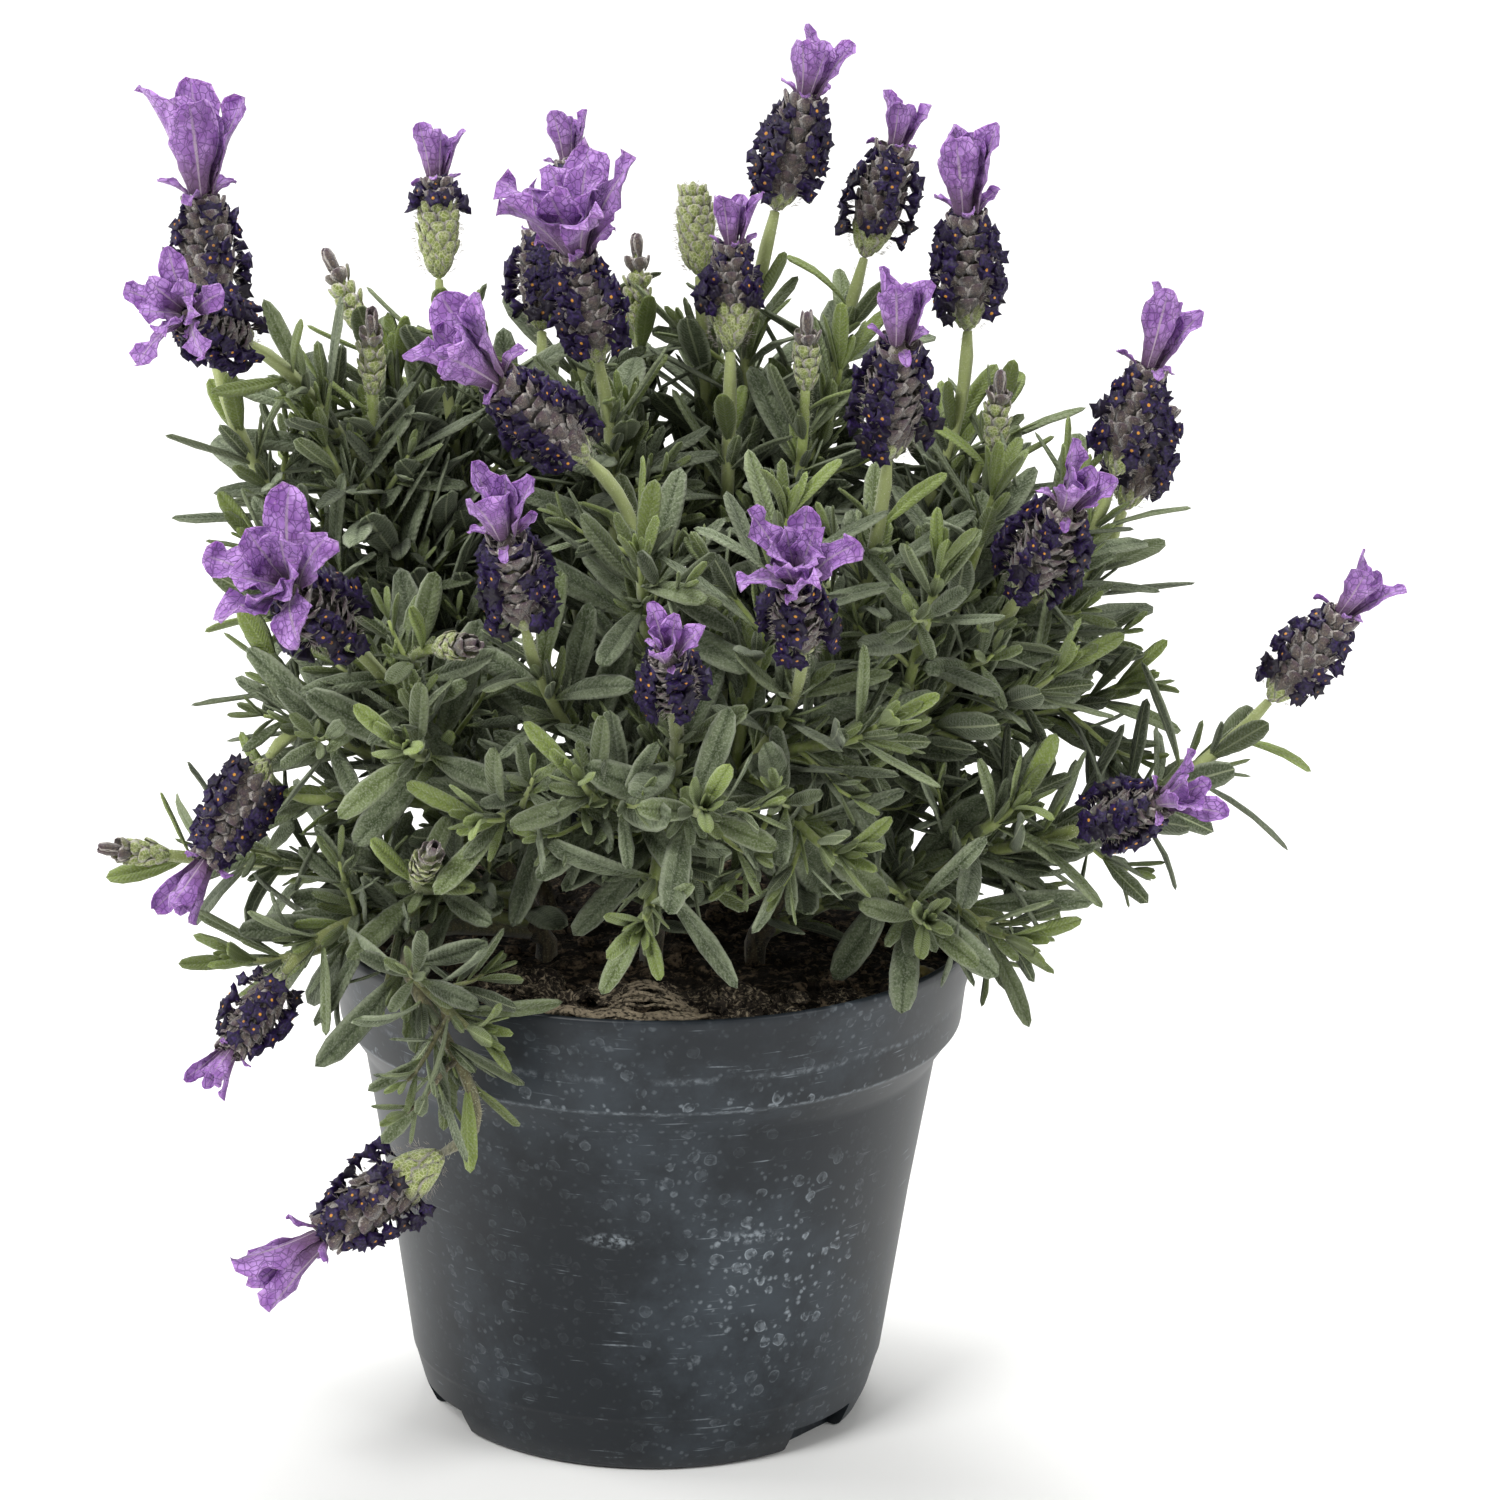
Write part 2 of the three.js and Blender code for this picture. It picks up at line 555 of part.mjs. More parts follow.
/** The first of a leaf's positions that is free, or null. It then takes its place in the crowd. */
function freeBlade(blade, shoot, crowd) {
  if (blade.place < FIRST_LEAF) return null;
  for (const [lean, turn] of SIDESTEPS) {
    const tried = moved(blade, lean, turn);
    const probes = PROBES.map((along) => bladePoint(tried, along));
    const free = probes.every((probe) => !inPot(probe) && crowd.every((ball) => (
      ball.owner === shoot.index || probe.distanceTo(ball.point) > ball.radius + LEAF_ROOM)));
    if (free) {
      probes.forEach((point) => crowd.push({ point, radius: LEAF_ROOM, owner: shoot.index }));
      return tried;
    }
  }
  return null;
}

const root = new THREE.Group();
const placed = [];

/** Adds a node at its place, and keeps its solid there for the leaves to be tested on. */
function addNode(name, solid, look, place = new THREE.Matrix4()) {
  const mesh = new THREE.Mesh(geometryOf(solid), new THREE.MeshStandardMaterial(look));
  mesh.name = name;
  place.decompose(mesh.position, mesh.quaternion, mesh.scale);
  root.add(mesh);
  keep(name, transformed(solid, place));
}

/** Keeps a solid on the list that later leaves are tested against. */
function keep(owner, solid) {
  placed.push({ owner, solid, box: solid.boundingBox() });
}

/** Whether a solid cuts into a kept solid of another owner. */
function crosses(solid, owner) {
  const { min, max } = solid.boundingBox();
  return placed.some((other) => other.owner !== owner
    && [0, 1, 2].every((i) => min[i] <= other.box.max[i] && max[i] >= other.box.min[i])
    && solid.intersect(other.solid).volume() > 1e-4);
}

/** The transform that stands a piece on a point with its own axis along a direction. */
function standing(point, aim) {
  const turn = new THREE.Quaternion().setFromUnitVectors(new THREE.Vector3(0, 0, 1), aim);
  return new THREE.Matrix4().compose(point, turn, new THREE.Vector3(1, 1, 1));
}

/** A solid moved by a transform. */
function transformed(solid, matrix) {
  return solidOf(geometryOf(solid).applyMatrix4(matrix));
}

const LOOKS = {
  pot: { color: 0x36424a, roughness: 0.62, metalness: 0 },
  soil: { color: 0x2e2119, roughness: 1, metalness: 0 },
  bark: { color: 0x5b4636, roughness: 0.95, metalness: 0 },
  beads: { color: 0xb79a4a, roughness: 0.55, metalness: 0 },
  green: { color: 0x74866a, roughness: 0.9, metalness: 0 },
  head: { color: 0x35204f, roughness: 0.8, metalness: 0 },
  coma: { color: 0x9a6fd0, roughness: 0.7, metalness: 0 },
};

addNode('pot', potSolid(), LOOKS.pot);
const soil = soilSolid();
addNode('soil', soil, LOOKS.soil);
addNode('bark', barkSolid(soil), LOOKS.bark);
for (const [name, spots] of Object.entries(BEADS)) {
  addNode(name, beadsSolid(spots, soil), LOOKS.beads);
}

const shoots = listShoots();
const stems = {};
for (const { name, hole, crown } of BRANCHES) {
  const bottom = SOIL.edgeHeight - SOIL.holeDepth + GAP;
  const foot = new THREE.CylinderGeometry(TRUNK_RADIUS, TRUNK_RADIUS, NECK - bottom, TRUNK_SIDES);
  foot.rotateX(Math.PI / 2).translate(...hole, (NECK + bottom) / 2);
  const trunk = new THREE.LineCurve3(new THREE.Vector3(...hole, NECK - 1.5), vector(crown));
  stems[name] = [solidOf(foot), stemSolid(trunk, 0, TRUNK_WIDTHS, [0, 0.1, 1], false)];
}
let count = 0;
for (const shoot of shoots) {
  const { branch, curve, turn, at, top, aim, bud, bracts } = shoot;
  stems[branch].push(stemSolid(curve, turn, STEM_WIDTHS, stationsOf(shoot), !at));
  if (!at) continue;
  const length = vector(at).distanceTo(vector(top));
  if (bud) {
    const solid = headSolid(length + 2, BUD_WIDTH, BUD_SIDES, BUD_ROWS, HEAD.relief);
    const seat = vector(at).addScaledVector(aim, -2);
    stems[branch].push(transformed(solid, standing(seat, aim)));
    continue;
  }
  count += 1;
  const number = String(count).padStart(2, '0');
  const width = Math.min(HEAD.mostWidth, length * HEAD.widthRatio);
  addNode(`head_${number}`, headSolid(length, width, HEAD.sides, HEAD.rows, HEAD.relief),
    LOOKS.head, standing(vector(at), aim));
  if (bracts) {
    addNode(`coma_${number}`, comaSolid(bracts, count), LOOKS.coma, standing(vector(top), aim));
  }
}
for (const { name } of BRANCHES) stems[name].forEach((solid) => keep(name, solid));

for (const { shoot, pair, blade } of placeLeaves(shoots)) {
  if (!KEPT_PAIRS.includes(pair)) continue;
  const leaf = bladeSolid(blade);
  if (crosses(leaf, shoot.branch)) continue;
  stems[shoot.branch].push(leaf);
  keep(shoot.branch, leaf);
}
for (const { name } of BRANCHES) {
  addNode(name, stems[name].reduce((whole, solid) => whole.add(solid)), LOOKS.green);
}

export default root;
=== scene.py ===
import math
from functools import cache, partial
from itertools import product

import bpy
import numpy as np
from bpy.props import FloatProperty, FloatVectorProperty, IntProperty, PointerProperty
from mathutils import Matrix, Vector


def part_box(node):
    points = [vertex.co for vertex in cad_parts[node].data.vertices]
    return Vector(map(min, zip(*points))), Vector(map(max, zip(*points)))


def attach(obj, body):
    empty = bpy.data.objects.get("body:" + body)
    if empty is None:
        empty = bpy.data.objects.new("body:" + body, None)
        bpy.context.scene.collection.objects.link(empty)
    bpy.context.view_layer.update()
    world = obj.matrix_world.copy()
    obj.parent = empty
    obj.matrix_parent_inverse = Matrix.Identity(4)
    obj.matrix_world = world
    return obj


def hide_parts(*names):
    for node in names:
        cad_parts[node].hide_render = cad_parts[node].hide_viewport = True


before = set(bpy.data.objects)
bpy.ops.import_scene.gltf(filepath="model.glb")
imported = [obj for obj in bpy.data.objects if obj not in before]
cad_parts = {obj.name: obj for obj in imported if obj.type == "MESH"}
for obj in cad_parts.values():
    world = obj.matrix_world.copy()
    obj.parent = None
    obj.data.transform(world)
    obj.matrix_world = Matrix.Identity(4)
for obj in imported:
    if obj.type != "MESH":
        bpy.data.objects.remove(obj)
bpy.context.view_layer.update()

bl_info = {
    "name": "Potted Spanish lavender",
    "version": (1, 0, 0),
    "blender": (4, 5, 0),
    "location": "View3D > Sidebar > Lavender",
    "description": "Builds a lavender in its pot, with leaves and flowers, on its solid frame",
    "category": "Object",
}

# Lengths are millimetres, and MM turns them to metres in a mesh, a material or a setting. Only the
# stage is in metres. Directions follow the frame: +Z is up and the front faces -Y.
MM = 0.001

# The pot and the soil, with the sizes of the frame's own solids. A pair is a radius and a height.
FOOT_RADIUS = 54.5
FOOT_LINE = (60.2, 16)
WALL_TOP = (73.6, 97)
LIP = (79.8, 105.5)
BAND = (80.9, 115)
PAD_RADIUS = 26
RING_INNER = 46.5
HOLLOW_UNDER = 3
FLOOR_TOP = 4.6
DRAINS = 3
DRAIN_WIDTH = 24
DRAIN_HEIGHT = 7
FIRST_DRAIN = 83
POT_SIDES = 168
POT_CREASE = 38
SOIL_EDGE = 124
SOIL_MIDDLE = 127.5
SOIL_RADIUS = 80.4
SOIL_IN_SIGHT = 76
SOIL_SIDES = 240
SOIL_ROWS = 46
SOIL_WALL = ((SOIL_RADIUS, 121.5), (78.8, 115), (76.2, 104.5), (71.2, 98.4), (65, 60), (58.0, 17),
             (54, 7), (30, 5))
SOIL_FLOOR = 5.0

# Leaves keep this far above the soil, and out of a ring round the wall of the pot.
SOIL_CLEARANCE = 2
WALL_CLEARANCE_INNER = 75.9
WALL_CLEARANCE_OUTER = 88
WALL_CLEARANCE_TOP = 134.5

# The rules that the shoots and leaves grow by. Leaves stand in pairs, counted from the tip of their
# shoot. Angles are in degrees, and places on a shoot are shares of its way from foot to tip.
NECK = 131
TRUNK_BOTTOM = 116.3
LEAF_SPACING = 9
YOUNG_LENGTH = 17
YOUNG_ANGLE = 20
LEAF_ANGLE = 53
LEAF_CURL = 26
PAIRS = 7
FIRST_LEAF = 0.16
MOST_PAIRS = 16
FIRST_OLD_LEAF = 0.06
OLD_LEAF_LIFT = 16
TRUNK_PAIRS = range(3, 7)
FIRST_TRUNK_LEAF = 0.12
CURVE_OVER_CHORD = 1.05
LEAF_ROOM = 1.7
PROBES = np.array([0.45, 0.72, 0.97])
SIDESTEPS = ((0, 0), (13, 0), (-13, 0), (0, 22), (0, -22), (26, 12))
CROWD_STEPS = 24
CROWD_HEIGHTS = (0.1, 0.37, 0.64, 0.9)
SPROUT_PLACES = (0.2, 0.36, 0.52, 0.66)
SPROUT_ROOM = 20
STEM_WIDTH = 3
BUD_WIDTH = 9
BUD_STALK = 6
HEAD_WIDTH = 21.5
HEAD_WIDTH_RATIO = 0.6
HEAD_MIDDLE = 14
HEAD_GAP = 0.3
WIDEST = 0.62
WIDE_OPEN = 40


def flower(at, top, bare, bracts=None, **more):
    """A flower: the two ends of its head, the bare stalk below it, and the length, number and
    opening of its violet bracts. A bend or handle pulls its shoot on the way. The head is green up
    to its ripe height, and its ranks of florets may have a turn of their own."""
    return {"at": at, "top": top, "bare": bare, "bracts": bracts, **more}


# Each branch: the spot of its hole, the crown where its shoots fork, its flowers, the two ends of
# each green bud, and the tips of its leafy shoots.
BRANCHES = [
    {
        "name": "left_back", "hole": (-27, 8), "crown": (-37, 10, 160),
        "flowers": [
            flower((-112, -2, 286), (-115, 4, 320), 34, (28, 4, 24)),
            flower((-102, -22, 287), (-117, -47, 302), 24, (16, 5, 60)),
            flower((-56, 30, 290), (-57, 38, 316), 12, (14, 3, 16), ripe=0.66),
        ],
        "buds": [((-75, 20, 279), (-83, 25, 295)), ((-72, 0, 269), (-72, -5, 288))],
        "shoots": [(-84, -8, 258), (-66, 22, 268), (-99, -14, 232), (-88, 44, 232),
                   (-62, 66, 246), (-98, 40, 198)],
    },
    {
        "name": "left_front", "hole": (-27, -23), "crown": (-38, -33, 156),
        "flowers": [
            flower((-76, -60, 222), (-90, -86, 244), 26, (25, 5, 54)),
            flower((-96, -50, 188), (-112, -62, 163), 8, (16, 3, 18)),
            flower((-91, -75, 140), (-105, -90, 123), 6, (10, 3, 24)),
            flower((-51, -80, 95), (-83, -88, 74), 20, (23, 3, 22), bend=(-105, -80, 165),
                   handle=(-18, -105, 118), ripe=0.24),
        ],
        "buds": [((-123, -20, 152), (-136, -25, 155)), ((-54, -62, 221), (-46, -69, 224)),
                 ((-58, -76, 166), (-54, -90, 178))],
        "shoots": [(-95, -30, 206), (-92, -42, 176), (-61, -78, 200), (-100, -60, 138),
                   (-44, -92, 132)],
    },
    {
        "name": "back_left", "hole": (-9, 27), "crown": (-13, 34, 162),
        "flowers": [
            flower((-22, 60, 292), (-24, 69, 313), 14, (13, 3, 16)),
            flower((-15, -10, 280), (-21, -15, 311), 12, (27, 5, 48)),
            flower((-30, 36, 275), (-31, 44, 301), 12, (11, 3, 16)),
        ],
        "buds": [((-5, 42, 274), (-6, 46, 295))],
        "shoots": [(-47, 20, 274), (-8, 4, 262), (-36, 84, 232), (-10, 96, 208), (-64, 76, 200)],
    },
    {
        "name": "back_right", "hole": (15, 26), "crown": (19, 33, 162),
        "flowers": [
            flower((10, 40, 289), (8, 46, 313), 12, ripe=1.1),
            flower((18, 8, 278), (18, 12, 307), 26, (13, 3, 24), ripe=0.36, ranks=45),
            flower((29, 30, 309), (37, 30, 341), 30, (17, 3, 20), ranks=45),
            flower((52, 45, 293), (60, 50, 323), 14, (13, 3, 22), ripe=0.16, ranks=0),
        ],
        "buds": [((37, 4, 270), (37, 4, 286))],
        "shoots": [(46, 16, 272), (12, 72, 256), (28, 94, 226), (52, 82, 196)],
    },
    {
        "name": "right_back", "hole": (31, 5), "crown": (42, 7, 160),
        "flowers": [
            flower((78, 20, 281), (77, 15, 315), 32, (23, 3, 12), ripe=0.14, ranks=45),
            flower((115, 0, 249), (124, 5, 278), 8, (19, 3, 18)),
            flower((119, 27, 232), (129, 35, 260), 10),
        ],
        "buds": [((85, 6, 254), (86, 6, 271))],
        "shoots": [(86, 22, 258), (103, -2, 246), (118, 6, 192), (76, 64, 236), (102, 50, 200)],
    },
    {
        "name": "right_front", "hole": (26, -24), "crown": (36, -33, 156),
        "flowers": [
            flower((57, -40, 264), (59, -50, 299), 22, (19, 3, 18)),
            flower((91, -30, 227), (102, -50, 257), 14, (16, 3, 22)),
            flower((156, 0, 190), (175, 0, 215), 14, (15, 3, 20), bend=(80, -28, 160)),
            flower((108, -40, 169), (128, -56, 182), 6, (15, 3, 34)),
        ],
        "buds": [],
        "shoots": [(84, -20, 250), (100, -30, 206), (70, -46, 238), (90, -46, 176),
                   (68, -70, 154), (90, -50, 143)],
    },
    {
        "name": "front", "hole": (0, -31), "crown": (0, -42, 158),
        "flowers": [
            flower((-17, -50, 266), (-41, -62, 291), 30, (26, 4, 30)),
            flower((36, -75, 225), (34, -94, 250), 12, (19, 5, 44)),
            flower((-32, -75, 230), (-37, -90, 260), 10, (19, 3, 20)),
            flower((5, -85, 213), (3, -104, 234), 8, (13, 3, 30)),
        ],
        "buds": [],
        "shoots": [(-4, -62, 243), (-2, -92, 160), (12, -98, 192), (56, -72, 206),
                   (-18, -90, 196), (-42, -84, 184), (46, -84, 176), (32, -56, 254)],
    },
]


def linear(code):
    """The linear colour with alpha of an sRGB hex value."""
    parts = [int(code[i:i + 2], 16) / 255 for i in (1, 3, 5)]
    parts = [c / 12.92 if c <= 0.04045 else ((c + 0.055) / 1.055) ** 2.4 for c in parts]
    return (*parts, 1.0)


def colour(name, description, code):
    """A colour property with an sRGB hex default."""
    return FloatVectorProperty(name=name, description=description, default=linear(code), size=4,
                               min=0, max=1, subtype="COLOR")


def length(name, description, millimetres):
    """A length property with a default in millimetres."""
    return FloatProperty(name=name, description=description, default=millimetres * MM, min=0,
                         unit="LENGTH", precision=4)


class PotSettings(bpy.types.PropertyGroup):
    """Sizes and colours of the nursery pot."""
    rim_radius: length("Rim radius", "Radius of the pot at its rim", 85)
    height: length("Height", "Height of the pot", 132)
    wall: length("Wall", "Thickness of the plastic", 1.5)
    plastic: colour("Plastic", "Colour of the clean plastic", "#12181e")
    # This pale colour also paints the highlight along the edge of the lip under the band.
    lime_and_highlight: colour("Lime and highlight", "Colour of dried lime water on the plastic", "#a6afb6")


class SoilSettings(bpy.types.PropertyGroup):
    """Colours of the soil, the bark and the fertiliser beads."""
    peat: colour("Peat", "Colour of the moist peat", "#28221b")
    fibre: colour("Fibre", "Colour of dry crumbs and fibres", "#7d6d58")
    bark: colour("Bark", "Colour of the raised bark", "#2a231d")
    bead: colour("Bead", "Colour of the resin round each bead", "#a89455")
    crumbs: IntProperty(name="Crumbs", description="Number of loose crumbs on the soil",
                        default=450, min=0)


class LeafSettings(bpy.types.PropertyGroup):
    """Sizes and colours of leaves and stems."""
    leaf_length: length("Leaf length", "Length of a full-grown leaf", 31)
    width_ratio: FloatProperty(name="Width ratio", description="Width of a leaf over its length",
                               default=0.235, min=0.05, max=1, subtype="FACTOR")
    thickness: length("Thickness", "Depth of a leaf with its rolled margins", 1.2)
    felt: colour("Felt", "Colour of the felted upper side", "#6b7658")
    deep: colour("Deep green", "Colour of the leaf under its felt", "#2c3a17")
    young: colour("Young green", "Colour of young leaves and leaf bases", "#84963f")
    stalk: colour("Stalk", "Colour of the flower stalks", "#98a266")
    wood: colour("Wood", "Colour of the old stems", "#6b5f45")


class FlowerSettings(bpy.types.PropertyGroup):
    """Sizes and colours of flower heads and violet bracts."""
    floret: length("Floret width", "Width of one open floret", 5.2)
    petal: colour("Petal", "Colour of the florets", "#160b28")
    anther: colour("Anther", "Colour of the anthers in a floret", "#c98a2e")
    scale: colour("Scale", "Colour of the woolly bracts on a head", "#665a50")
    wool: colour("Wool", "Colour of the hairs", "#c6bdb4")
    violet: colour("Violet", "Colour of the bracts of the tuft", "#895ba3")
    # Painted highlight: this paler violet is laid where the violet bracts bulge, as if lit.
    bulge_highlight: colour("Highlight", "Paler violet where those bracts bulge", "#b88fd0")
    vein: colour("Vein", "Colour of the veins in those bracts", "#56306c")


class StageSettings(bpy.types.PropertyGroup):
    """Camera and studio light."""
    distance: length("Distance", "Distance of the camera", 2500)
    pitch: FloatProperty(name="Pitch", description="How far the camera looks down",
                         default=math.radians(17.94), subtype="ANGLE")
    roll: FloatProperty(name="Roll", description="Turn of the camera about its own view",
                        default=math.radians(0.89), subtype="ANGLE")
    lens: FloatProperty(name="Lens", description="Focal length of the camera", default=235.8,
                        unit="CAMERA")
    floor: colour("Floor", "Colour of the floor", "#f4f4f2")


def scatter(a, b):
    """A number from 0 to 1 that looks random: the part after the point of 43758.5453 times the sine
    of 12.9898 a + 78.233 b."""
    wave = np.sin(a * 12.9898 + b * 78.233) * 43758.5453
    return wave - np.floor(wave)


def unit(v):
    """v over its own length, for one vector or an array of them."""
    return v / np.linalg.norm(v, axis=-1, keepdims=True)


def joined(*parts):
    """Arrays side by side along a last axis, each spread to the shape that they share."""
    return np.stack(np.broadcast_arrays(*parts), -1)


def full_turn(count):
    """The angles of a full turn in equal steps."""
    return np.linspace(0, 2 * np.pi, count, endpoint=False)


def smooth_noise(x, y, seed):
    """Random heights from -1 to 1 at whole numbers, blended between them by 3f^2 - 2f^3."""
    left, low = np.floor(x), np.floor(y)
    fx, fy = x - left, y - low
    fx, fy = fx * fx * (3 - 2 * fx), fy * fy * (3 - 2 * fy)
    corner = [[scatter(left + i + seed, low + j - seed) for i in (0, 1)] for j in (0, 1)]
    lower = corner[0][0] * (1 - fx) + corner[0][1] * fx
    upper = corner[1][0] * (1 - fx) + corner[1][1] * fx
    return 2 * (lower * (1 - fy) + upper * fy) - 1


def bezier(curve, t):
    """Points of a cubic curve: its four handles weighted by the terms of (1 - t + t)^3."""
    t = np.asarray(t, float)[..., None]
    return ((1 - t) ** 3 * curve[0] + 3 * (1 - t) ** 2 * t * curve[1]
            + 3 * (1 - t) * t ** 2 * curve[2] + t ** 3 * curve[3])


def bezier_tangent(curve, t):
    """Directions of a cubic curve: the steps between its handles weighted by (1 - t + t)^2."""
    t = np.asarray(t, float)[..., None]
    steps = np.diff(curve, axis=0)
    return unit((1 - t) ** 2 * steps[0] + 2 * (1 - t) * t * steps[1] + t ** 2 * steps[2])


def sideways(curve, tangent):
    """Two directions square to a tangent, the first level with the curve's chord."""
    level = np.cross(curve[3] - curve[0], (0, 0, 1))
    first = unit(level - tangent * np.sum(level * tangent, -1, keepdims=True))
    return first, np.cross(tangent, first)


def blade_width(along):
    """Outline of a leaf: a quarter sine up to its widest place, then a blunt rounded end."""
    past = np.clip((along - WIDEST) / (1 - WIDEST), 0, 1)
    return np.where(along < WIDEST, np.sin(np.pi / 2 * along / WIDEST), np.sqrt(1 - past ** 2.6))


def blade_middle(blades, along):
    """Middle lines of blades: each is an arc that leaves its root at an angle and turns on by its
    curl. A point is the end of the chord of that arc."""
    half = blades["curl"][:, None] * along / 2
    chord = blades["length"][:, None] * along * np.sinc(half / np.pi)
    turn = blades["angle"][:, None] + half
    return (blades["root"][:, None]
            + blades["axis"][:, None] * (chord * np.cos(turn))[..., None]
            + blades["out"][:, None] * (chord * np.sin(turn))[..., None])


def shoot_curve(start, end, aim, bend=None, handle=None):
    """The four handles of a shoot that first rises and then comes into line with its tip."""
    reach = np.linalg.norm(end - start)
    rise = bend if bend else start + 0.36 * (end - start) + np.array((0, 0, 0.1 * reach))
    lead = handle if handle else end - 0.33 * reach * aim
    return np.array([start, rise, lead, end], float)


def list_shoots():
    """Every shoot of the plant, as the branches list them. Shoots with flowers or buds fork from
    the trunk, and leafy ones from the nearest of those."""
    shoots = []
    for branch in BRANCHES:
        foot = np.array([*branch["hole"], NECK], float)
        crown = np.array(branch["crown"], float)
        main = branch["flowers"] + [{"at": at, "top": top, "bare": BUD_STALK, "bud": True}
                                    for at, top in branch["buds"]]
        own = []
        for tip in main:
            end = np.array(tip["at"], float)
            aim = unit(np.array(tip["top"]) - end)
            lower = sum(other["at"][2] < tip["at"][2] for other in main)
            start = foot + (crown - foot) * (0.1 + 0.88 * lower / (len(main) - 1))
            curve = shoot_curve(start, end, aim, tip.get("bend"), tip.get("handle"))
            own.append({**tip, "aim": aim, "curve": curve})
        for i, tip in enumerate(branch["shoots"]):
            end = np.array(tip, float)
            parent = min(own[:len(main)], key=lambda one: np.linalg.norm(one["curve"][3] - end))
            start = bezier(parent["curve"], 0.3 + 0.22 * scatter(i, len("stem_" + branch["name"])))
            aim = unit(unit(end - start) + np.array((0, 0, 0.35)))
            own.append({"bare": 0, "aim": aim, "curve": shoot_curve(start, end, aim)})
        for shoot in own:
            index = len(shoots)
            shoots.append({**shoot, "branch": branch["name"], "index": index,
                           "turn": 2 * math.pi * scatter(index, 5)})
    return shoots


def leaf_blade(shoot, pair, side, lowest=FIRST_LEAF):
    """One leaf of a pair before it gives way. Pairs are a quarter turn apart. Leaves grow longer
    and open wider over the first three pairs, and the oldest, in the shade, stand up again."""
    curve = shoot["curve"]
    place = 1 - (shoot["bare"] + 1 + pair * LEAF_SPACING) / (
        CURVE_OVER_CHORD * np.linalg.norm(curve[3] - curve[0]))
    if place < lowest:
        return None
    settings = bpy.context.scene.lavender_leaves
    seed = shoot["index"] * 20 + pair * 2 + side
    grown = min(1, (pair + 0.5) / 2.5)
    tangent = bezier_tangent(curve, place)
    first, second = sideways(curve, tangent)
    size = (YOUNG_LENGTH + (settings.leaf_length / MM - YOUNG_LENGTH) * grown) * (
        0.85 + 0.32 * scatter(seed, 1))
    return {
        "root": bezier(curve, place), "axis": tangent, "first": first, "second": second,
        "turn": shoot["turn"] + math.radians(90 * pair + 180 * side
                                             + 30 * (scatter(seed, 4) - 0.5)),
        "length": size,
        "width": size * settings.width_ratio * (0.9 + 0.25 * scatter(seed, 6)),
        "thickness": settings.thickness / MM,
        "angle": math.radians(YOUNG_ANGLE + (LEAF_ANGLE - YOUNG_ANGLE) * grown
                              + 18 * (scatter(seed, 2) - 0.5)
                              - (OLD_LEAF_LIFT if pair >= PAIRS else 0)),
        "curl": math.radians(LEAF_CURL * (2 * scatter(seed, 3) - 0.4)),
        "roll": math.radians(30 * (scatter(seed, 7) - 0.5)),
        "grown": grown, "seed": seed,
    }


def moved(blade, lean, turn):
    """The same blade leaning and turned by the degrees given."""
    angle = blade["turn"] + math.radians(turn)
    out = blade["first"] * math.cos(angle) + blade["second"] * math.sin(angle)
    return {**blade, "out": out, "angle": blade["angle"] + math.radians(lean)}


def stacked(blades):
    """Arrays of the values that a list of blades holds."""
    keys = ("root", "axis", "out", "length", "width", "thickness", "angle", "curl", "roll",
            "grown", "seed")
    return {key: np.array([blade[key] for blade in blades], float) for key in keys}


def in_pot(points):
    """Which points lie in the pot or the soil, or too near to them."""
    radius, height = np.hypot(points[:, 0], points[:, 1]), points[:, 2]
    low = height < SOIL_MIDDLE + SOIL_CLEARANCE
    wall = (height < WALL_CLEARANCE_TOP) & (radius > WALL_CLEARANCE_INNER)
    return (low | wall) & (radius < WALL_CLEARANCE_OUTER)


def list_sprouts(shoots):
    """Short side shoots that fill the inside of the plant, up to four on a shoot and fewer on the
    leafy ones. Those that would reach the middle of a head or the pot are left out."""
    sprouts = []
    for shoot in shoots:
        for k, t in enumerate(SPROUT_PLACES):
            seed = shoot["index"] * 7 + k + 500
            if scatter(seed, 1) < (0.1 if "at" in shoot else 0.45):
                continue
            tangent = bezier_tangent(shoot["curve"], t)
            first, second = sideways(shoot["curve"], tangent)
            turn = 2 * math.pi * scatter(seed, 2)
            way = unit(first * math.cos(turn) + second * math.sin(turn) + 0.5 * tangent
                       + np.array((0, 0, 0.35)))
            start = bezier(shoot["curve"], t)
            end = start + way * (13 + 12 * scatter(seed, 3))
            aim = unit(way + np.array((0, 0, 0.4)))
            near = min(np.linalg.norm(end - (other["curve"][3] + HEAD_MIDDLE * other["aim"]))
                       for other in shoots if "at" in other)
            if near < SPROUT_ROOM or in_pot(end[None] - (0, 0, 6)).any():
                continue
            sprouts.append({"branch": shoot["branch"], "index": seed, "sprout": True,
                            "aim": aim, "curve": shoot_curve(start, end, aim),
                            "turn": 2 * math.pi * scatter(seed, 4)})
    return sprouts


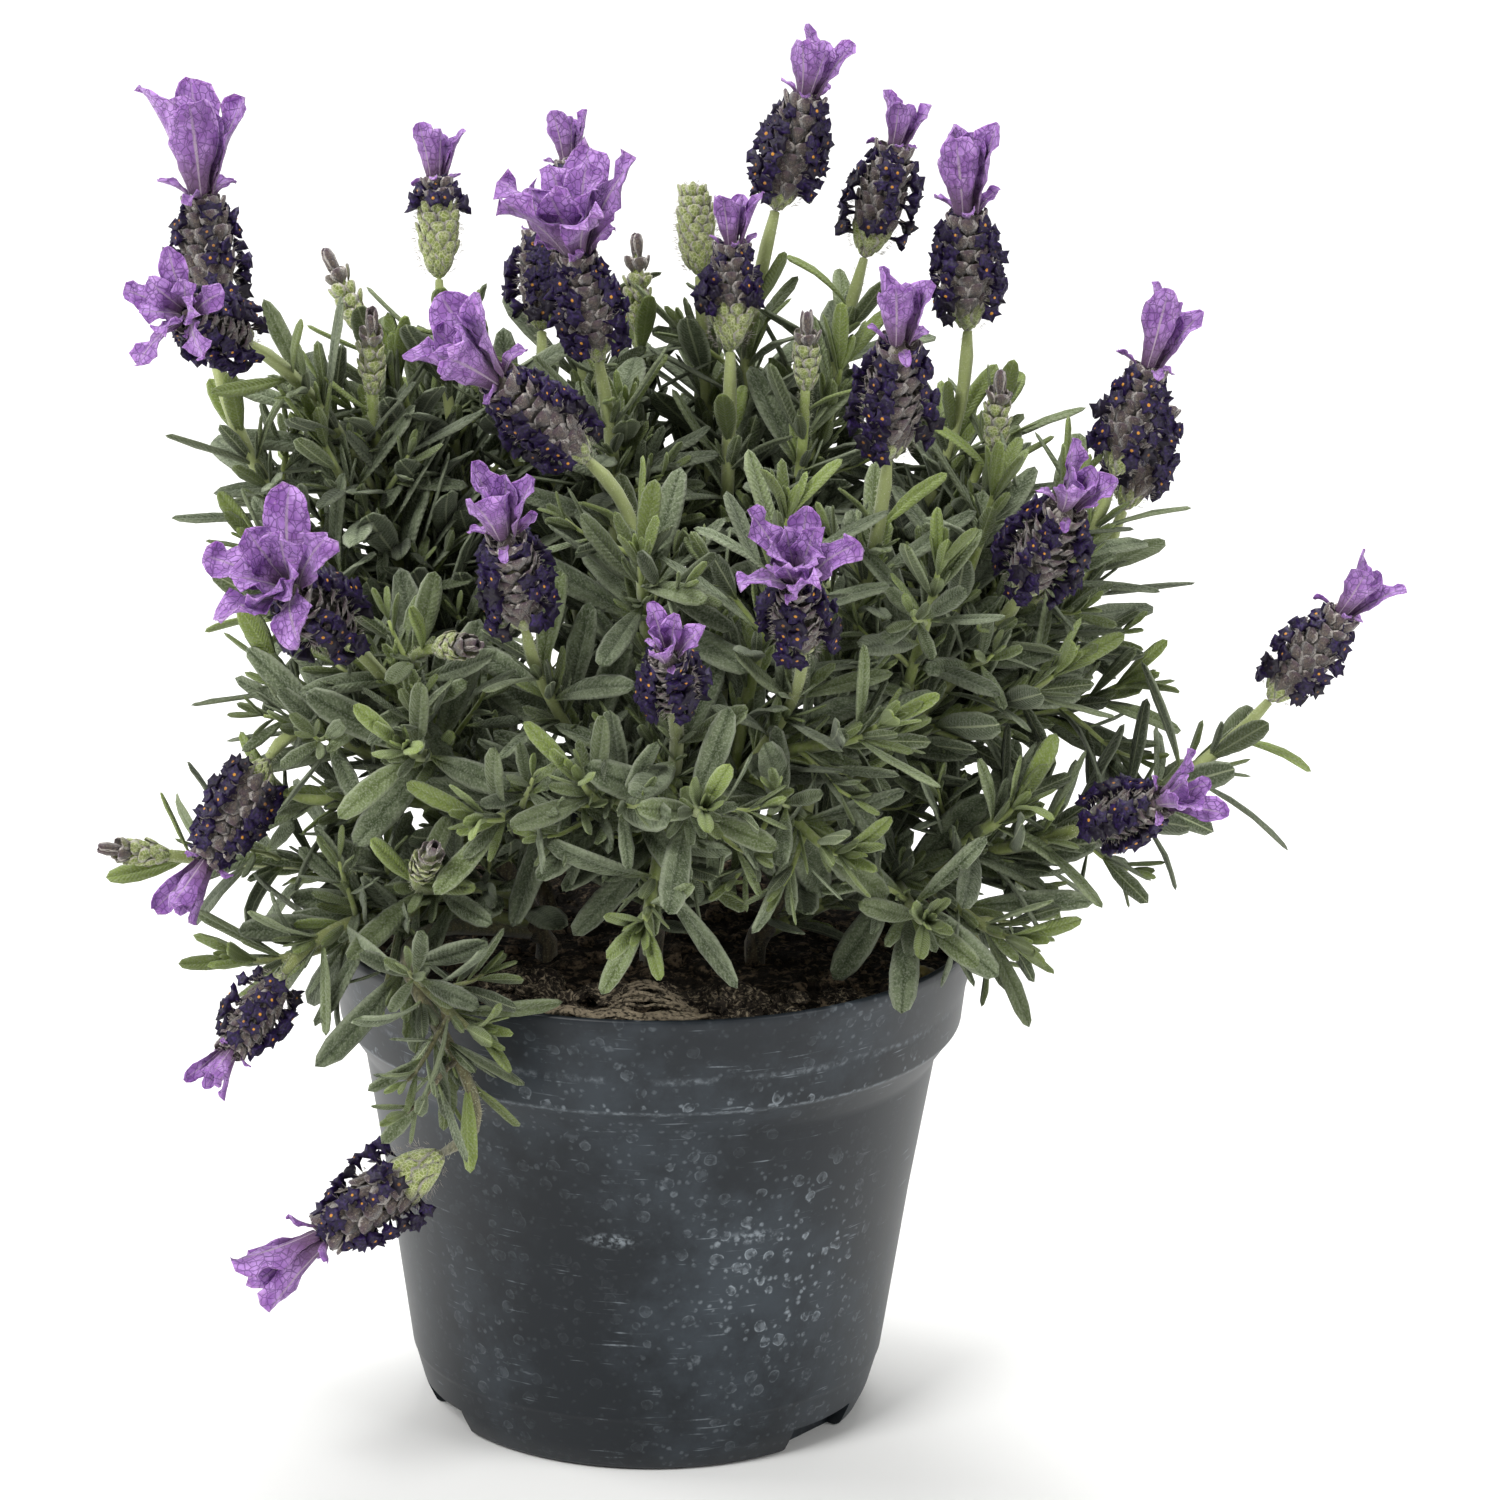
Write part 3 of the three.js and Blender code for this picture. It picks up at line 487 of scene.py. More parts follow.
@cache
def plant():
    """The shoots, their leaves and the sprouts. From the tip down, each leaf leans or turns aside
    until its middle line keeps clear of balls along the other shoots, heads, tufts and earlier
    leaves. Two more passes add the older leaves below and those of the trunks."""
    shoots = list_shoots()
    points, radii, owners = [], [], []

    def crowd(spots, radius, owner):
        points.extend(spots)
        radii.extend([radius] * len(spots))
        owners.extend([owner] * len(spots))

    for shoot in shoots:
        steps = np.arange(2, CROWD_STEPS + 1) / CROWD_STEPS
        crowd(bezier(shoot["curve"], steps), STEM_WIDTH / 2, shoot["index"])
        if "at" in shoot:
            at, top = np.array(shoot["at"], float), np.array(shoot["top"], float)
            crowd([at + (top - at) * height for height in CROWD_HEIGHTS],
                  (BUD_WIDTH if "bud" in shoot else HEAD_WIDTH) / 2, -1)
            if shoot.get("bracts"):
                reach = 0.5 * shoot["bracts"][0]
                crowd([top + shoot["aim"] * reach], reach, -1)
    trunks = []
    for i, branch in enumerate(BRANCHES):
        foot, crown = np.array([*branch["hole"], NECK], float), np.array(branch["crown"], float)
        # The first pair of a trunk stands just under its crown.
        trunks.append({"branch": branch["name"], "index": 100 + i,
                       "bare": -TRUNK_PAIRS[0] * LEAF_SPACING, "aim": unit(crown - foot),
                       "curve": np.linspace(foot, crown, 4), "turn": 1.1 * i})
    passes = [(shoots, range(PAIRS), FIRST_LEAF),
              (shoots, range(PAIRS, MOST_PAIRS), FIRST_OLD_LEAF),
              (trunks, TRUNK_PAIRS, FIRST_TRUNK_LEAF)]
    most_leaves = 2 * (len(shoots) * MOST_PAIRS + len(trunks) * len(TRUNK_PAIRS))
    room = len(points) + len(PROBES) * most_leaves
    spots, radius, owner = np.zeros((room, 3)), np.zeros(room), np.zeros(room)
    count = len(points)
    spots[:count], radius[:count], owner[:count] = points, radii, owners
    leaves = []
    for bearers, pairs, lowest in passes:
        for shoot, pair, side in product(bearers, pairs, (0, 1)):
            blade = leaf_blade(shoot, pair, side, lowest)
            if blade is None:
                continue
            for lean, turn in SIDESTEPS:
                tried = moved(blade, lean, turn)
                probes = blade_middle(stacked([tried]), PROBES[None])[0]
                if in_pot(probes).any():
                    continue
                gaps = np.linalg.norm(spots[None, :count] - probes[:, None], axis=-1)
                near = gaps <= radius[:count] + LEAF_ROOM
                if (near & (owner[:count] != shoot["index"])).any():
                    continue
                last = count + len(PROBES)
                spots[count:last] = probes
                radius[count:last] = LEAF_ROOM
                owner[count:last] = shoot["index"]
                count = last
                leaves.append({**tried, "shoot": shoot, "pair": pair})
                break
    return shoots, leaves, list_sprouts(shoots)


class Batch:
    """Closed surfaces that share one mesh: points, faces, and for each point its place on its own
    surface (across, along, side) and its tone (age, draw, part, and a fourth that no material
    reads)."""

    def __init__(self):
        self.points, self.quads, self.tris, self.places, self.tones = [], [], [], [], []
        self.count = 0

    def add(self, rings, starts, ends, places, tones):
        """Adds tubes that are closed by a point at each end. rings is tubes x rows x points x 3,
        and each ring runs anticlockwise about the way the tube goes."""
        tubes, rows, ring, _ = rings.shape
        row = np.arange(rows - 1)[:, None] * ring
        here = np.arange(ring)
        after = (here + 1) % ring
        quads = joined(row + here, row + after, row + ring + after, row + ring + here)
        last = (rows - 1) * ring
        poles = np.full(ring, rows * ring)
        tris = np.concatenate([joined(poles, after, here),
                               joined(poles + 1, last + here, last + after)])
        step = rows * ring + 2
        offset = self.count + step * np.arange(tubes)[:, None, None]
        self.quads.append((quads.reshape(1, -1, 4) + offset).reshape(-1, 4))
        self.tris.append((tris[None] + offset).reshape(-1, 3))
        self.points.append(np.concatenate(
            [rings.reshape(tubes, -1, 3), starts[:, None], ends[:, None]], 1).reshape(-1, 3))
        places = np.broadcast_to(places, (tubes, rows, ring, 3))
        closing = np.array([[0.0, 0.0, 0.5], [0.0, 1.0, 0.5]])
        self.places.append(np.concatenate(
            [places.reshape(tubes, -1, 3), np.broadcast_to(closing, (tubes, 2, 3))],
            1).reshape(-1, 3))
        self.tones.append(np.repeat(tones, step, axis=0))
        self.count += tubes * step


def make_piece(name, batch, material, nodes, smooth_angle=180):
    """A mesh object in metres from a batch of surfaces, standing for the frame's nodes given. It
    is smooth, but for edges sharper than the angle given in degrees."""
    mesh = bpy.data.meshes.new(name)
    points = np.concatenate(batch.points) * MM
    quads, tris = np.concatenate(batch.quads), np.concatenate(batch.tris)
    corners = np.concatenate([quads.ravel(), tris.ravel()])
    starts = np.concatenate([np.arange(len(quads)) * 4, len(quads) * 4 + np.arange(len(tris)) * 3])
    mesh.vertices.add(len(points))
    mesh.vertices.foreach_set("co", points.astype(np.float32).ravel())
    mesh.loops.add(len(corners))
    mesh.loops.foreach_set("vertex_index", corners.astype(np.int32))
    mesh.polygons.add(len(starts))
    mesh.polygons.foreach_set("loop_start", starts.astype(np.int32))
    mesh.update(calc_edges=True)
    place = mesh.attributes.new("place", "FLOAT_VECTOR", "POINT")
    place.data.foreach_set("vector", np.concatenate(batch.places).astype(np.float32).ravel())
    tone = mesh.attributes.new("tone", "FLOAT_COLOR", "POINT")
    tone.data.foreach_set("color", np.concatenate(batch.tones).astype(np.float32).ravel())
    mesh.shade_smooth()
    if smooth_angle < 180:
        mesh.set_sharp_from_angle(angle=math.radians(smooth_angle))
    mesh.materials.append(material)
    piece = bpy.data.objects.new(name, mesh)
    bpy.context.scene.collection.objects.link(piece)
    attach(piece, "root")
    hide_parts(*nodes)
    return piece


def each_branch(kind, material, nodes):
    """Gives each branch with an empty batch. Once the loop has filled the batch, it becomes the
    branch's piece of that kind, standing for its nodes of one kind."""
    for branch in BRANCHES:
        batch = Batch()
        yield branch, batch
        if batch.count:
            make_piece(f"{kind}_{branch['name']}", batch, material,
                       branch_nodes(branch["name"], nodes))


def bract_width(along):
    """Outline of a violet bract: broad at its foot, swelling as a squared sine up to its widest
    place, then rounded."""
    past = np.clip((along - WIDEST) / (1 - WIDEST), 0, 1)
    return (0.42 + 0.58 * np.sin(np.pi / 2 * np.minimum(along / WIDEST, 1)) ** 2) * np.sqrt(
        1 - past ** 2.4)


def blade_surfaces(batch, blades, stations, section, outline=blade_width, ruffle=0.0, torn=0.0,
                   cup=0.0):
    """Blades as closed tubes. A point is the middle line plus s times the half width across, plus
    the section's height times the thickness. A ruffle lifts the margins by
    ruffle * length * |s|^1.4 * along * the sines of a long wave and of a weaker, finer crease that
    run up the blade. A cup bends them up by cup * half width * s^2, and torn margins vary the half
    width with noise."""
    v = np.asarray(stations)[None]
    s, height, side = np.asarray(section, float).T
    middle = blade_middle(blades, v)
    turned = blades["angle"][:, None] + blades["curl"][:, None] * v
    axis, out = blades["axis"][:, None], blades["out"][:, None]
    level = np.broadcast_to(np.cross(blades["axis"], blades["out"])[:, None], middle.shape)
    face = axis * np.sin(turned)[..., None] - out * np.cos(turned)[..., None]
    roll = blades["roll"][:, None, None]
    across = level * np.cos(roll) + face * np.sin(roll)
    up = face * np.cos(roll) - level * np.sin(roll)
    shape = outline(v)
    seed = blades["seed"][:, None, None]
    half = (blades["width"][:, None] * shape / 2)[..., None] * (
        1 + torn * smooth_noise(v[..., None] * 8, 3 * np.sign(s), seed))
    depth = blades["thickness"][:, None] * np.sqrt(shape)
    wave = np.sin(2 * np.pi * (v[..., None] * (1.3 + 1.4 * scatter(seed, 31)) + scatter(seed, 32))
                  + 1.4 * s * (2 * scatter(seed, 33) - 1))
    crease = np.sin(2 * np.pi * (v[..., None] * 4.6 + scatter(seed, 34)) + 2.5 * s)
    lift = ruffle * blades["length"][:, None, None] * np.abs(s) ** 1.4 * v[..., None] * (
        wave + 0.35 * crease)
    rise = depth[..., None] * height + lift + cup * half * s ** 2
    rings = (middle[:, :, None] + across[:, :, None] * (half * s)[..., None]
             + up[:, :, None] * rise[..., None])
    places = joined(s[None, None], v[..., None], side[None, None])
    draws = scatter(blades["seed"], 35)
    tones = joined(blades["grown"], draws, 0 * draws, 0 * draws)
    batch.add(rings, blades["root"], blade_middle(blades, np.ones((1, 1)))[:, 0], places, tones)


# Sections of a blade as (across, height over thickness, side), and the stations along it that they
# stand at. The ring runs from the right edge over the top to the left edge and back underneath. A
# leaf has margins that roll under, a sunken midrib above and a raised one below. Small leaves, the
# scales of a head and the tips of a bud share a plainer section.
LEAF_SECTION = (
    (1, -0.1, 0.5), (0.7, 0.46, 0), (0.22, 0.3, 0), (0, -0.12, 0), (-0.22, 0.3, 0),
    (-0.7, 0.46, 0), (-1, -0.1, 0.5), (-0.62, -0.36, 1), (0, -0.55, 1), (0.62, -0.36, 1),
)
LEAF_STATIONS = (0.05, 0.22, 0.42, 0.62, 0.82, 0.95)
SMALL_SECTION = ((1, -0.1, 0.5), (0.55, 0.42, 0), (0, -0.1, 0), (-0.55, 0.42, 0), (-1, -0.1, 0.5),
                 (0, -0.5, 1))
SMALL_STATIONS = (0.08, 0.36, 0.66, 0.92)
# A violet bract is thin, with eight rows of points across each face.
BRACT_TURN = full_turn(16)
BRACT_SECTION = joined(np.cos(BRACT_TURN), 0.5 * np.sign(np.sin(BRACT_TURN).round(6))
                       * np.abs(np.sin(BRACT_TURN)) ** 0.4, BRACT_TURN > np.pi)
BRACT_STATIONS = np.linspace(0.04, 0.985, 13)


def tube_along(batch, path, radii, ring, tones, corners=0.0, rough=0.0, seed=0):
    """One tube along a path of points, with a radius at each. The radius is multiplied by
    1 + corners cos 4a for a square stem, and by 1 + rough times noise."""
    path, radii = np.asarray(path, float), np.asarray(radii, float)
    tangent = unit(np.gradient(path, axis=0))
    chord = path[-1] - path[0]
    level = np.cross(chord, (0, 0, 1.0))
    if np.linalg.norm(level) < 1e-3:
        level = np.array((1.0, 0, 0))
    first = unit(level - tangent * np.sum(level * tangent, -1, keepdims=True))
    second = np.cross(tangent, first)
    angle = full_turn(ring)
    swell = 1 + corners * np.cos(4 * angle)[None] + rough * smooth_noise(
        angle[None] * 1.9, np.arange(len(path))[:, None] * 1.0, seed)
    reach = radii[:, None] * swell
    rings = (path[:, None] + first[:, None] * (reach * np.cos(angle))[..., None]
             + second[:, None] * (reach * np.sin(angle))[..., None])
    along = np.linspace(0, 1, len(path))[:, None]
    places = joined(angle[None] / np.pi - 1, along, 0.0)
    batch.add(rings[None], path[:1] - tangent[:1] * radii[0] * 0.5,
              path[-1:] + tangent[-1:] * radii[-1] * 0.5, places[None], np.array([tones], float))


def lumps(batch, centres, sizes, ring, rows, rough, flat, tones, seed):
    """Closed lumps: balls whose radius is multiplied by 1 + rough times the sum of three noises,
    each finer and weaker. Each is drawn out by up to half one way, turned about the vertical, and
    its height is multiplied by flat."""
    polar = np.linspace(0, np.pi, rows + 2)[1:-1][:, None]
    angle = full_turn(ring)[None]
    number = np.arange(len(centres)) + seed
    own = number[:, None, None]
    u, v = np.cos(angle) + 0 * polar + own * 7.3, np.sin(angle) + 1.6 * np.cos(polar) + own * 3.7
    wobble = 1 + rough * sum(share * smooth_noise(step * u, step * v, seed)
                             for share, step in ((1, 1.3), (0.5, 4), (0.28, 11)))
    direction = joined(np.sin(polar) * np.cos(angle), np.sin(polar) * np.sin(angle), -np.cos(polar))
    sizes = np.asarray(sizes, float)
    shape = sizes[:, None, None, None] * wobble[..., None] * direction[None]
    shape[..., 0] *= (1 + 0.5 * scatter(number, 42))[:, None, None]
    shape[..., 2] *= flat
    turn = 2 * np.pi * scatter(number, 41)[:, None, None]
    x = shape[..., 0] * np.cos(turn) - shape[..., 1] * np.sin(turn)
    y = shape[..., 0] * np.sin(turn) + shape[..., 1] * np.cos(turn)
    rings = joined(x, y, shape[..., 2]) + centres[:, None, None]
    pole = joined(np.zeros(len(sizes)), np.zeros(len(sizes)), sizes * flat)
    places = joined(angle / np.pi - 1, polar / np.pi, 0.0)
    batch.add(rings, centres - pole, centres + pole, places[None], tones)


def standing(aim):
    """The least turn that brings +Z onto a direction, as a matrix: I + K + K^2 / (1 + c), with K
    for the cross product of the two and c for the cosine between them."""
    x, y, z = aim
    cross = np.array([[0, 0, x], [0, 0, y], [-x, -y, 0]], float)
    return np.eye(3) + cross + cross @ cross / (1 + z)


def head_outline(height):
    """Half width of a head over its greatest: the root of a sine that swells below the middle."""
    return np.sin(np.pi * np.clip(height, 0, 1) ** 0.8) ** 0.55


def heads_of(branch):
    """The flower heads of a branch: number in the plant, foot, tip, turn, length, width, violet
    bracts, ripe height and turn of the ranks."""
    flowers = [shoot for shoot in plant()[0] if "at" in shoot and "bud" not in shoot]
    heads = []
    for number, shoot in enumerate(flowers, 1):
        if shoot["branch"] != branch:
            continue
        at, top = np.array(shoot["at"], float), np.array(shoot["top"], float)
        size = np.linalg.norm(top - at)
        heads.append({"number": number, "at": at, "top": top, "turn": standing(shoot["aim"]),
                      "length": size, "width": min(HEAD_WIDTH, size * HEAD_WIDTH_RATIO),
                      "bracts": shoot["bracts"], "ripe": shoot.get("ripe", 0.1),
                      "ranks": shoot.get("ranks", 360 * scatter(number, 6))})
    return heads


def on_head(head, height, angle, reach):
    """Points at a height and angle on a head, at a multiple of its half width, and the directions
    out of its axis there. A head stops just short of its stalk and of its tuft."""
    radius = reach * head["width"] / 2 * head_outline(height)
    along = HEAD_GAP + (head["length"] - 2 * HEAD_GAP) * height
    local = joined(radius * np.cos(angle), radius * np.sin(angle), along)
    out = joined(np.cos(angle), np.sin(angle), 0 * angle)
    return head["at"] + local @ head["turn"].T, out @ head["turn"].T


def branch_nodes(branch, kind):
    """The frame's nodes of one kind on a branch."""
    if kind == "stem":
        return [f"stem_{branch}"]
    return [f"{kind}_{head['number']:02d}" for head in heads_of(branch)
            if kind == "head" or head["bracts"]]


def add_node(tree, kind, inputs, output=0, **settings):
    """Adds a shader node with its settings, sets or links its inputs, and gives one output. The
    inputs are a list in the node's own order, or a dictionary by number or name."""
    node = tree.nodes.new("ShaderNode" + kind)
    for name, value in settings.items():
        setattr(node, name, value)
    for key in inputs if isinstance(inputs, dict) else range(len(inputs)):
        if isinstance(inputs[key], bpy.types.NodeSocket):
            tree.links.new(inputs[key], node.inputs[key])
        else:
            node.inputs[key].default_value = inputs[key]
    return None if output is None else node.outputs[output]


def new_material(name):
    """A material without nodes, and add_node bound to its tree."""
    material = bpy.data.materials.new(name)
    material.use_nodes = True
    material.node_tree.nodes.clear()
    return material, partial(add_node, material.node_tree)


def own_coordinates(add):
    """Object coordinates, and the separate parts of a piece's own place and tone."""
    coords = add("TexCoord", {}, "Object")
    place = add("Attribute", {}, "Vector", attribute_name="place")
    tone = add("Attribute", {}, "Color", attribute_name="tone")
    return (coords, add("SeparateXYZ", [place]).node.outputs,
            add("SeparateColor", [tone]).node.outputs)


# Settings that many nodes share. A Mix node gives its colour as its third output.
SMOOTH = {"interpolation_type": "SMOOTHSTEP"}
RGBA = {"data_type": "RGBA", "output": 2}
EDGES = {"feature": "DISTANCE_TO_EDGE"}


@cache
def leaf_material():
    """Living leaf, grown under a felt of branched hairs: matt and grey-green on top, darker and
    fresher underneath, with a pale midrib and pale rolled margins."""
    settings = bpy.context.scene.lavender_leaves
    material, add = new_material("Felted_living_leaf")
    coords, place, tone = own_coordinates(add)
    across = add("Math", [place[0]], operation="ABSOLUTE")
    # The felt wears thin in patches about 5 mm wide. Its hairs are finer than 0.1 mm and are drawn
    # as 0.5 mm grain so that they show.
    patches = add("TexNoise", {"Vector": coords, "Scale": 1 / (5 * MM), "Detail": 3.0})
    grain = add("TexNoise", {"Vector": coords, "Scale": 1 / (0.5 * MM), "Detail": 2.0})
    # Side veins stand about 1.7 mm apart and run forward from the midrib to the margin.
    slant = add("Math", [across, -0.12, place[1]], operation="MULTIPLY_ADD")
    ribs = add("Math", [slant, 36 * math.pi], operation="MULTIPLY")
    ribs = add("Math", [ribs], operation="SINE")
    worn = add("Math", [ribs, 0.025, patches], operation="MULTIPLY_ADD")
    worn = add("MapRange", [worn, 0.36, 0.66, 0.12, 0.78], **SMOOTH)
    top = add("Mix", {0: worn, 6: settings.felt, 7: settings.deep}, **RGBA)
    groove = add("MapRange", [across, 0.04, 0.26, 0.75, 0.0], **SMOOTH)
    top = add("Mix", {0: groove, 6: top, 7: settings.deep}, **RGBA)
    rib = add("MapRange", [across, 0.03, 0.13, 0.75, 0.0], **SMOOTH)
    under = add("Mix", {0: 0.25, 6: settings.deep, 7: settings.felt}, **RGBA)
    under = add("Mix", {0: rib, 6: under, 7: linear("#a9b18c")}, **RGBA)
    below = add("MapRange", [place[2], 0.35, 0.65], **SMOOTH)
    colour = add("Mix", {0: below, 6: top, 7: under}, **RGBA)
    margin = add("MapRange", [across, 0.62, 0.95, 0.0, 0.65], **SMOOTH)
    colour = add("Mix", {0: margin, 6: colour, 7: linear("#939b82")}, **RGBA)
    young = add("MapRange", [tone[0], 0.1, 0.85, 0.75, 0.0], **SMOOTH)
    foot = add("MapRange", [place[1], 0.0, 0.32, 0.7, 0.0], **SMOOTH)
    fresh = add("Math", [young, foot], operation="MAXIMUM")
    colour = add("Mix", {0: fresh, 6: colour, 7: settings.young}, **RGBA)
    hairs = add("MapRange", [grain, 0.4, 0.75, 0.0, 0.4], **SMOOTH)
    colour = add("Mix", {0: hairs, 6: colour, 7: linear("#aab09b")}, **RGBA)
    shade = add("MapRange", {0: tone[1], 3: 0.5, 4: 1.12})
    colour = add("Mix", {0: 1.0, 6: colour, 7: shade}, blend_type="MULTIPLY", **RGBA)
    relief = add("Math", [ribs, 0.22, grain], operation="MULTIPLY_ADD")
    normal = add("Bump", {"Height": relief, "Strength": 0.7, "Distance": 0.35 * MM})
    surface = add("BsdfPrincipled", {
        "Base Color": colour, "Normal": normal, "Roughness": 0.8, "Specular IOR Level": 0.22,
        "Sheen Weight": 0.3, "Sheen Roughness": 0.6, "Sheen Tint": linear("#cfd6c6")})
    add("OutputMaterial", [surface], None)
    return material


@cache
def stem_material():
    """Living stem: downy and yellow-green near its tip, turning to brown wood towards the soil."""
    settings = bpy.context.scene.lavender_leaves
    material, add = new_material("Downy_stem")
    coords, _, tone = own_coordinates(add)
    # Streaks run lengthwise, about 1.2 mm wide. The down is drawn as 0.5 mm grain.
    long_way = add("Mapping", {"Vector": coords, "Scale": (1, 1, 0.2)})
    streaks = add("TexNoise", {"Vector": long_way, "Scale": 1 / (1.2 * MM), "Detail": 3.0})
    down = add("TexNoise", {"Vector": coords, "Scale": 1 / (0.5 * MM), "Detail": 2.0})
    pale = add("MapRange", [streaks, 0.35, 0.7], **SMOOTH)
    green = add("Mix", {0: pale, 6: settings.young, 7: settings.stalk}, **RGBA)
    # The second tone is 1 on flower stalks, which are paler than leafy stems.
    green = add("Mix", {0: tone[1], 6: green, 7: settings.stalk}, **RGBA)
    dark = add("MapRange", [streaks, 0.3, 0.7], **SMOOTH)
    wood = add("Mix", {0: dark, 6: settings.wood, 7: linear("#2f281c")}, **RGBA)
    # The first tone is 0 on old wood and 1 on the freshest growth.
    fresh = add("MapRange", [tone[0], 0.1, 0.55], **SMOOTH)
    colour = add("Mix", {0: fresh, 6: wood, 7: green}, **RGBA)
    hairs = add("MapRange", [down, 0.5, 0.8, 0.0, 0.4], **SMOOTH)
    colour = add("Mix", {0: hairs, 6: colour, 7: linear("#c3c8a4")}, **RGBA)
    normal = add("Bump", {"Height": down, "Strength": 0.5, "Distance": 0.3 * MM})
    surface = add("BsdfPrincipled", {
        "Base Color": colour, "Normal": normal, "Roughness": 0.7, "Specular IOR Level": 0.3,
        "Sheen Weight": 0.3, "Sheen Roughness": 0.6})
    add("OutputMaterial", [surface], None)
    return material


@cache
def scale_material():
    """Woolly bracts, dry and papery: green with a pale net near the foot of a head, grey-brown
    further up, with purple-brown tips, and cottony hair in between."""
    settings = bpy.context.scene.lavender_flowers
    material, add = new_material("Woolly_head_bract")
    coords, place, tone = own_coordinates(add)
    net = add("TexVoronoi", {"Vector": coords, "Scale": 1 / (1.0 * MM)}, **EDGES)
    wool = add("TexNoise", {"Vector": coords, "Scale": 1 / (0.45 * MM), "Detail": 3.0})
    cloud = add("TexNoise", {"Vector": coords, "Scale": 1 / (3 * MM), "Detail": 2.0})
    mesh_lines = add("MapRange", [net, 0.02, 0.14, 0.8, 0.0], **SMOOTH)
    green = add("Mix", {0: mesh_lines, 6: linear("#8c9b4a"), 7: linear("#d3d7a6")}, **RGBA)
    brown = add("Mix", {0: mesh_lines, 6: settings.scale, 7: linear("#39303a")}, **RGBA)
    # The first tone is 0 at the green foot and 1 where the head has ripened.
    ripe = add("Math", [cloud, 0.5, tone[0]], operation="MULTIPLY_ADD")
    ripe = add("MapRange", [ripe, 0.45, 0.85], **SMOOTH)
    colour = add("Mix", {0: ripe, 6: green, 7: brown}, **RGBA)
    tip = add("MapRange", [place[1], 0.6, 1.0, 0.0, 0.7], **SMOOTH)
    ripest = add("MapRange", {0: tone[0], 3: 0.5, 4: 1.0})
    tip = add("Math", [tip, ripest], operation="MULTIPLY")
    colour = add("Mix", {0: tip, 6: colour, 7: linear("#4b3444")}, **RGBA)
    # Hair is thickest along the margins and lies in tufts about 0.5 mm wide.
    across = add("Math", [place[0]], operation="ABSOLUTE")
    fringe = add("MapRange", [across, 0.5, 1.0, -0.1, 0.3], **SMOOTH)
    fluff = add("Math", [wool, fringe], operation="ADD")
    fluff = add("MapRange", [fluff, 0.5, 0.7, 0.0, 0.85], **SMOOTH)
    colour = add("Mix", {0: fluff, 6: colour, 7: settings.wool}, **RGBA)
    normal = add("Bump", {"Height": wool, "Strength": 0.8, "Distance": 0.5 * MM})
    surface = add("BsdfPrincipled", {
        "Base Color": colour, "Normal": normal, "Roughness": 0.88, "Specular IOR Level": 0.18,
        "Sheen Weight": 0.4, "Sheen Roughness": 0.6})
    add("OutputMaterial", [surface], None)
    return material


@cache
def floret_material():
    """Fresh petals, crinkled as they unfold: nearly black violet with a velvet gloss, and a few
    orange anthers. Old florets have dried to black."""
    settings = bpy.context.scene.lavender_flowers
    material, add = new_material("Velvet_dark_petal")
    coords, place, tone = own_coordinates(add)
    crinkle = add("TexNoise", {"Vector": coords, "Scale": 1 / (0.8 * MM), "Detail": 2.0})
    # Painted highlight: a lighter violet where the crinkles rise in the bump, as if lit.
    light = add("MapRange", [crinkle, 0.4, 0.75], **SMOOTH)
    colour = add("Mix", {0: light, 6: settings.petal, 7: linear("#2f1b55")}, **RGBA)
    dried = add("MapRange", [tone[1], 0.45, 0.75, 0.0, 0.85], **SMOOTH)
    colour = add("Mix", {0: dried, 6: colour, 7: linear("#17121a")}, **RGBA)
    # Along is 0 at the anthers and 1 down the tube. The anthers are drawn 0.6 mm wide to show.
    middle = add("MapRange", [place[1], 0.08, 0.13, 1.0, 0.0], **SMOOTH)
    shown = add("MapRange", [tone[2], 0.45, 0.55], **SMOOTH)
    middle = add("Math", [middle, shown], operation="MULTIPLY")
    fresh = add("MapRange", {0: dried, 3: 1.0, 4: 0.15})
    middle = add("Math", [middle, fresh], operation="MULTIPLY")
    colour = add("Mix", {0: middle, 6: colour, 7: settings.anther}, **RGBA)
    normal = add("Bump", {"Height": crinkle, "Strength": 0.6, "Distance": 0.4 * MM})
    surface = add("BsdfPrincipled", {
        "Base Color": colour, "Normal": normal, "Roughness": 0.5, "Specular IOR Level": 0.35,
        "Sheen Weight": 0.08, "Sheen Roughness": 0.4, "Sheen Tint": linear("#6a4f98")})
    add("OutputMaterial", [surface], None)
    return material


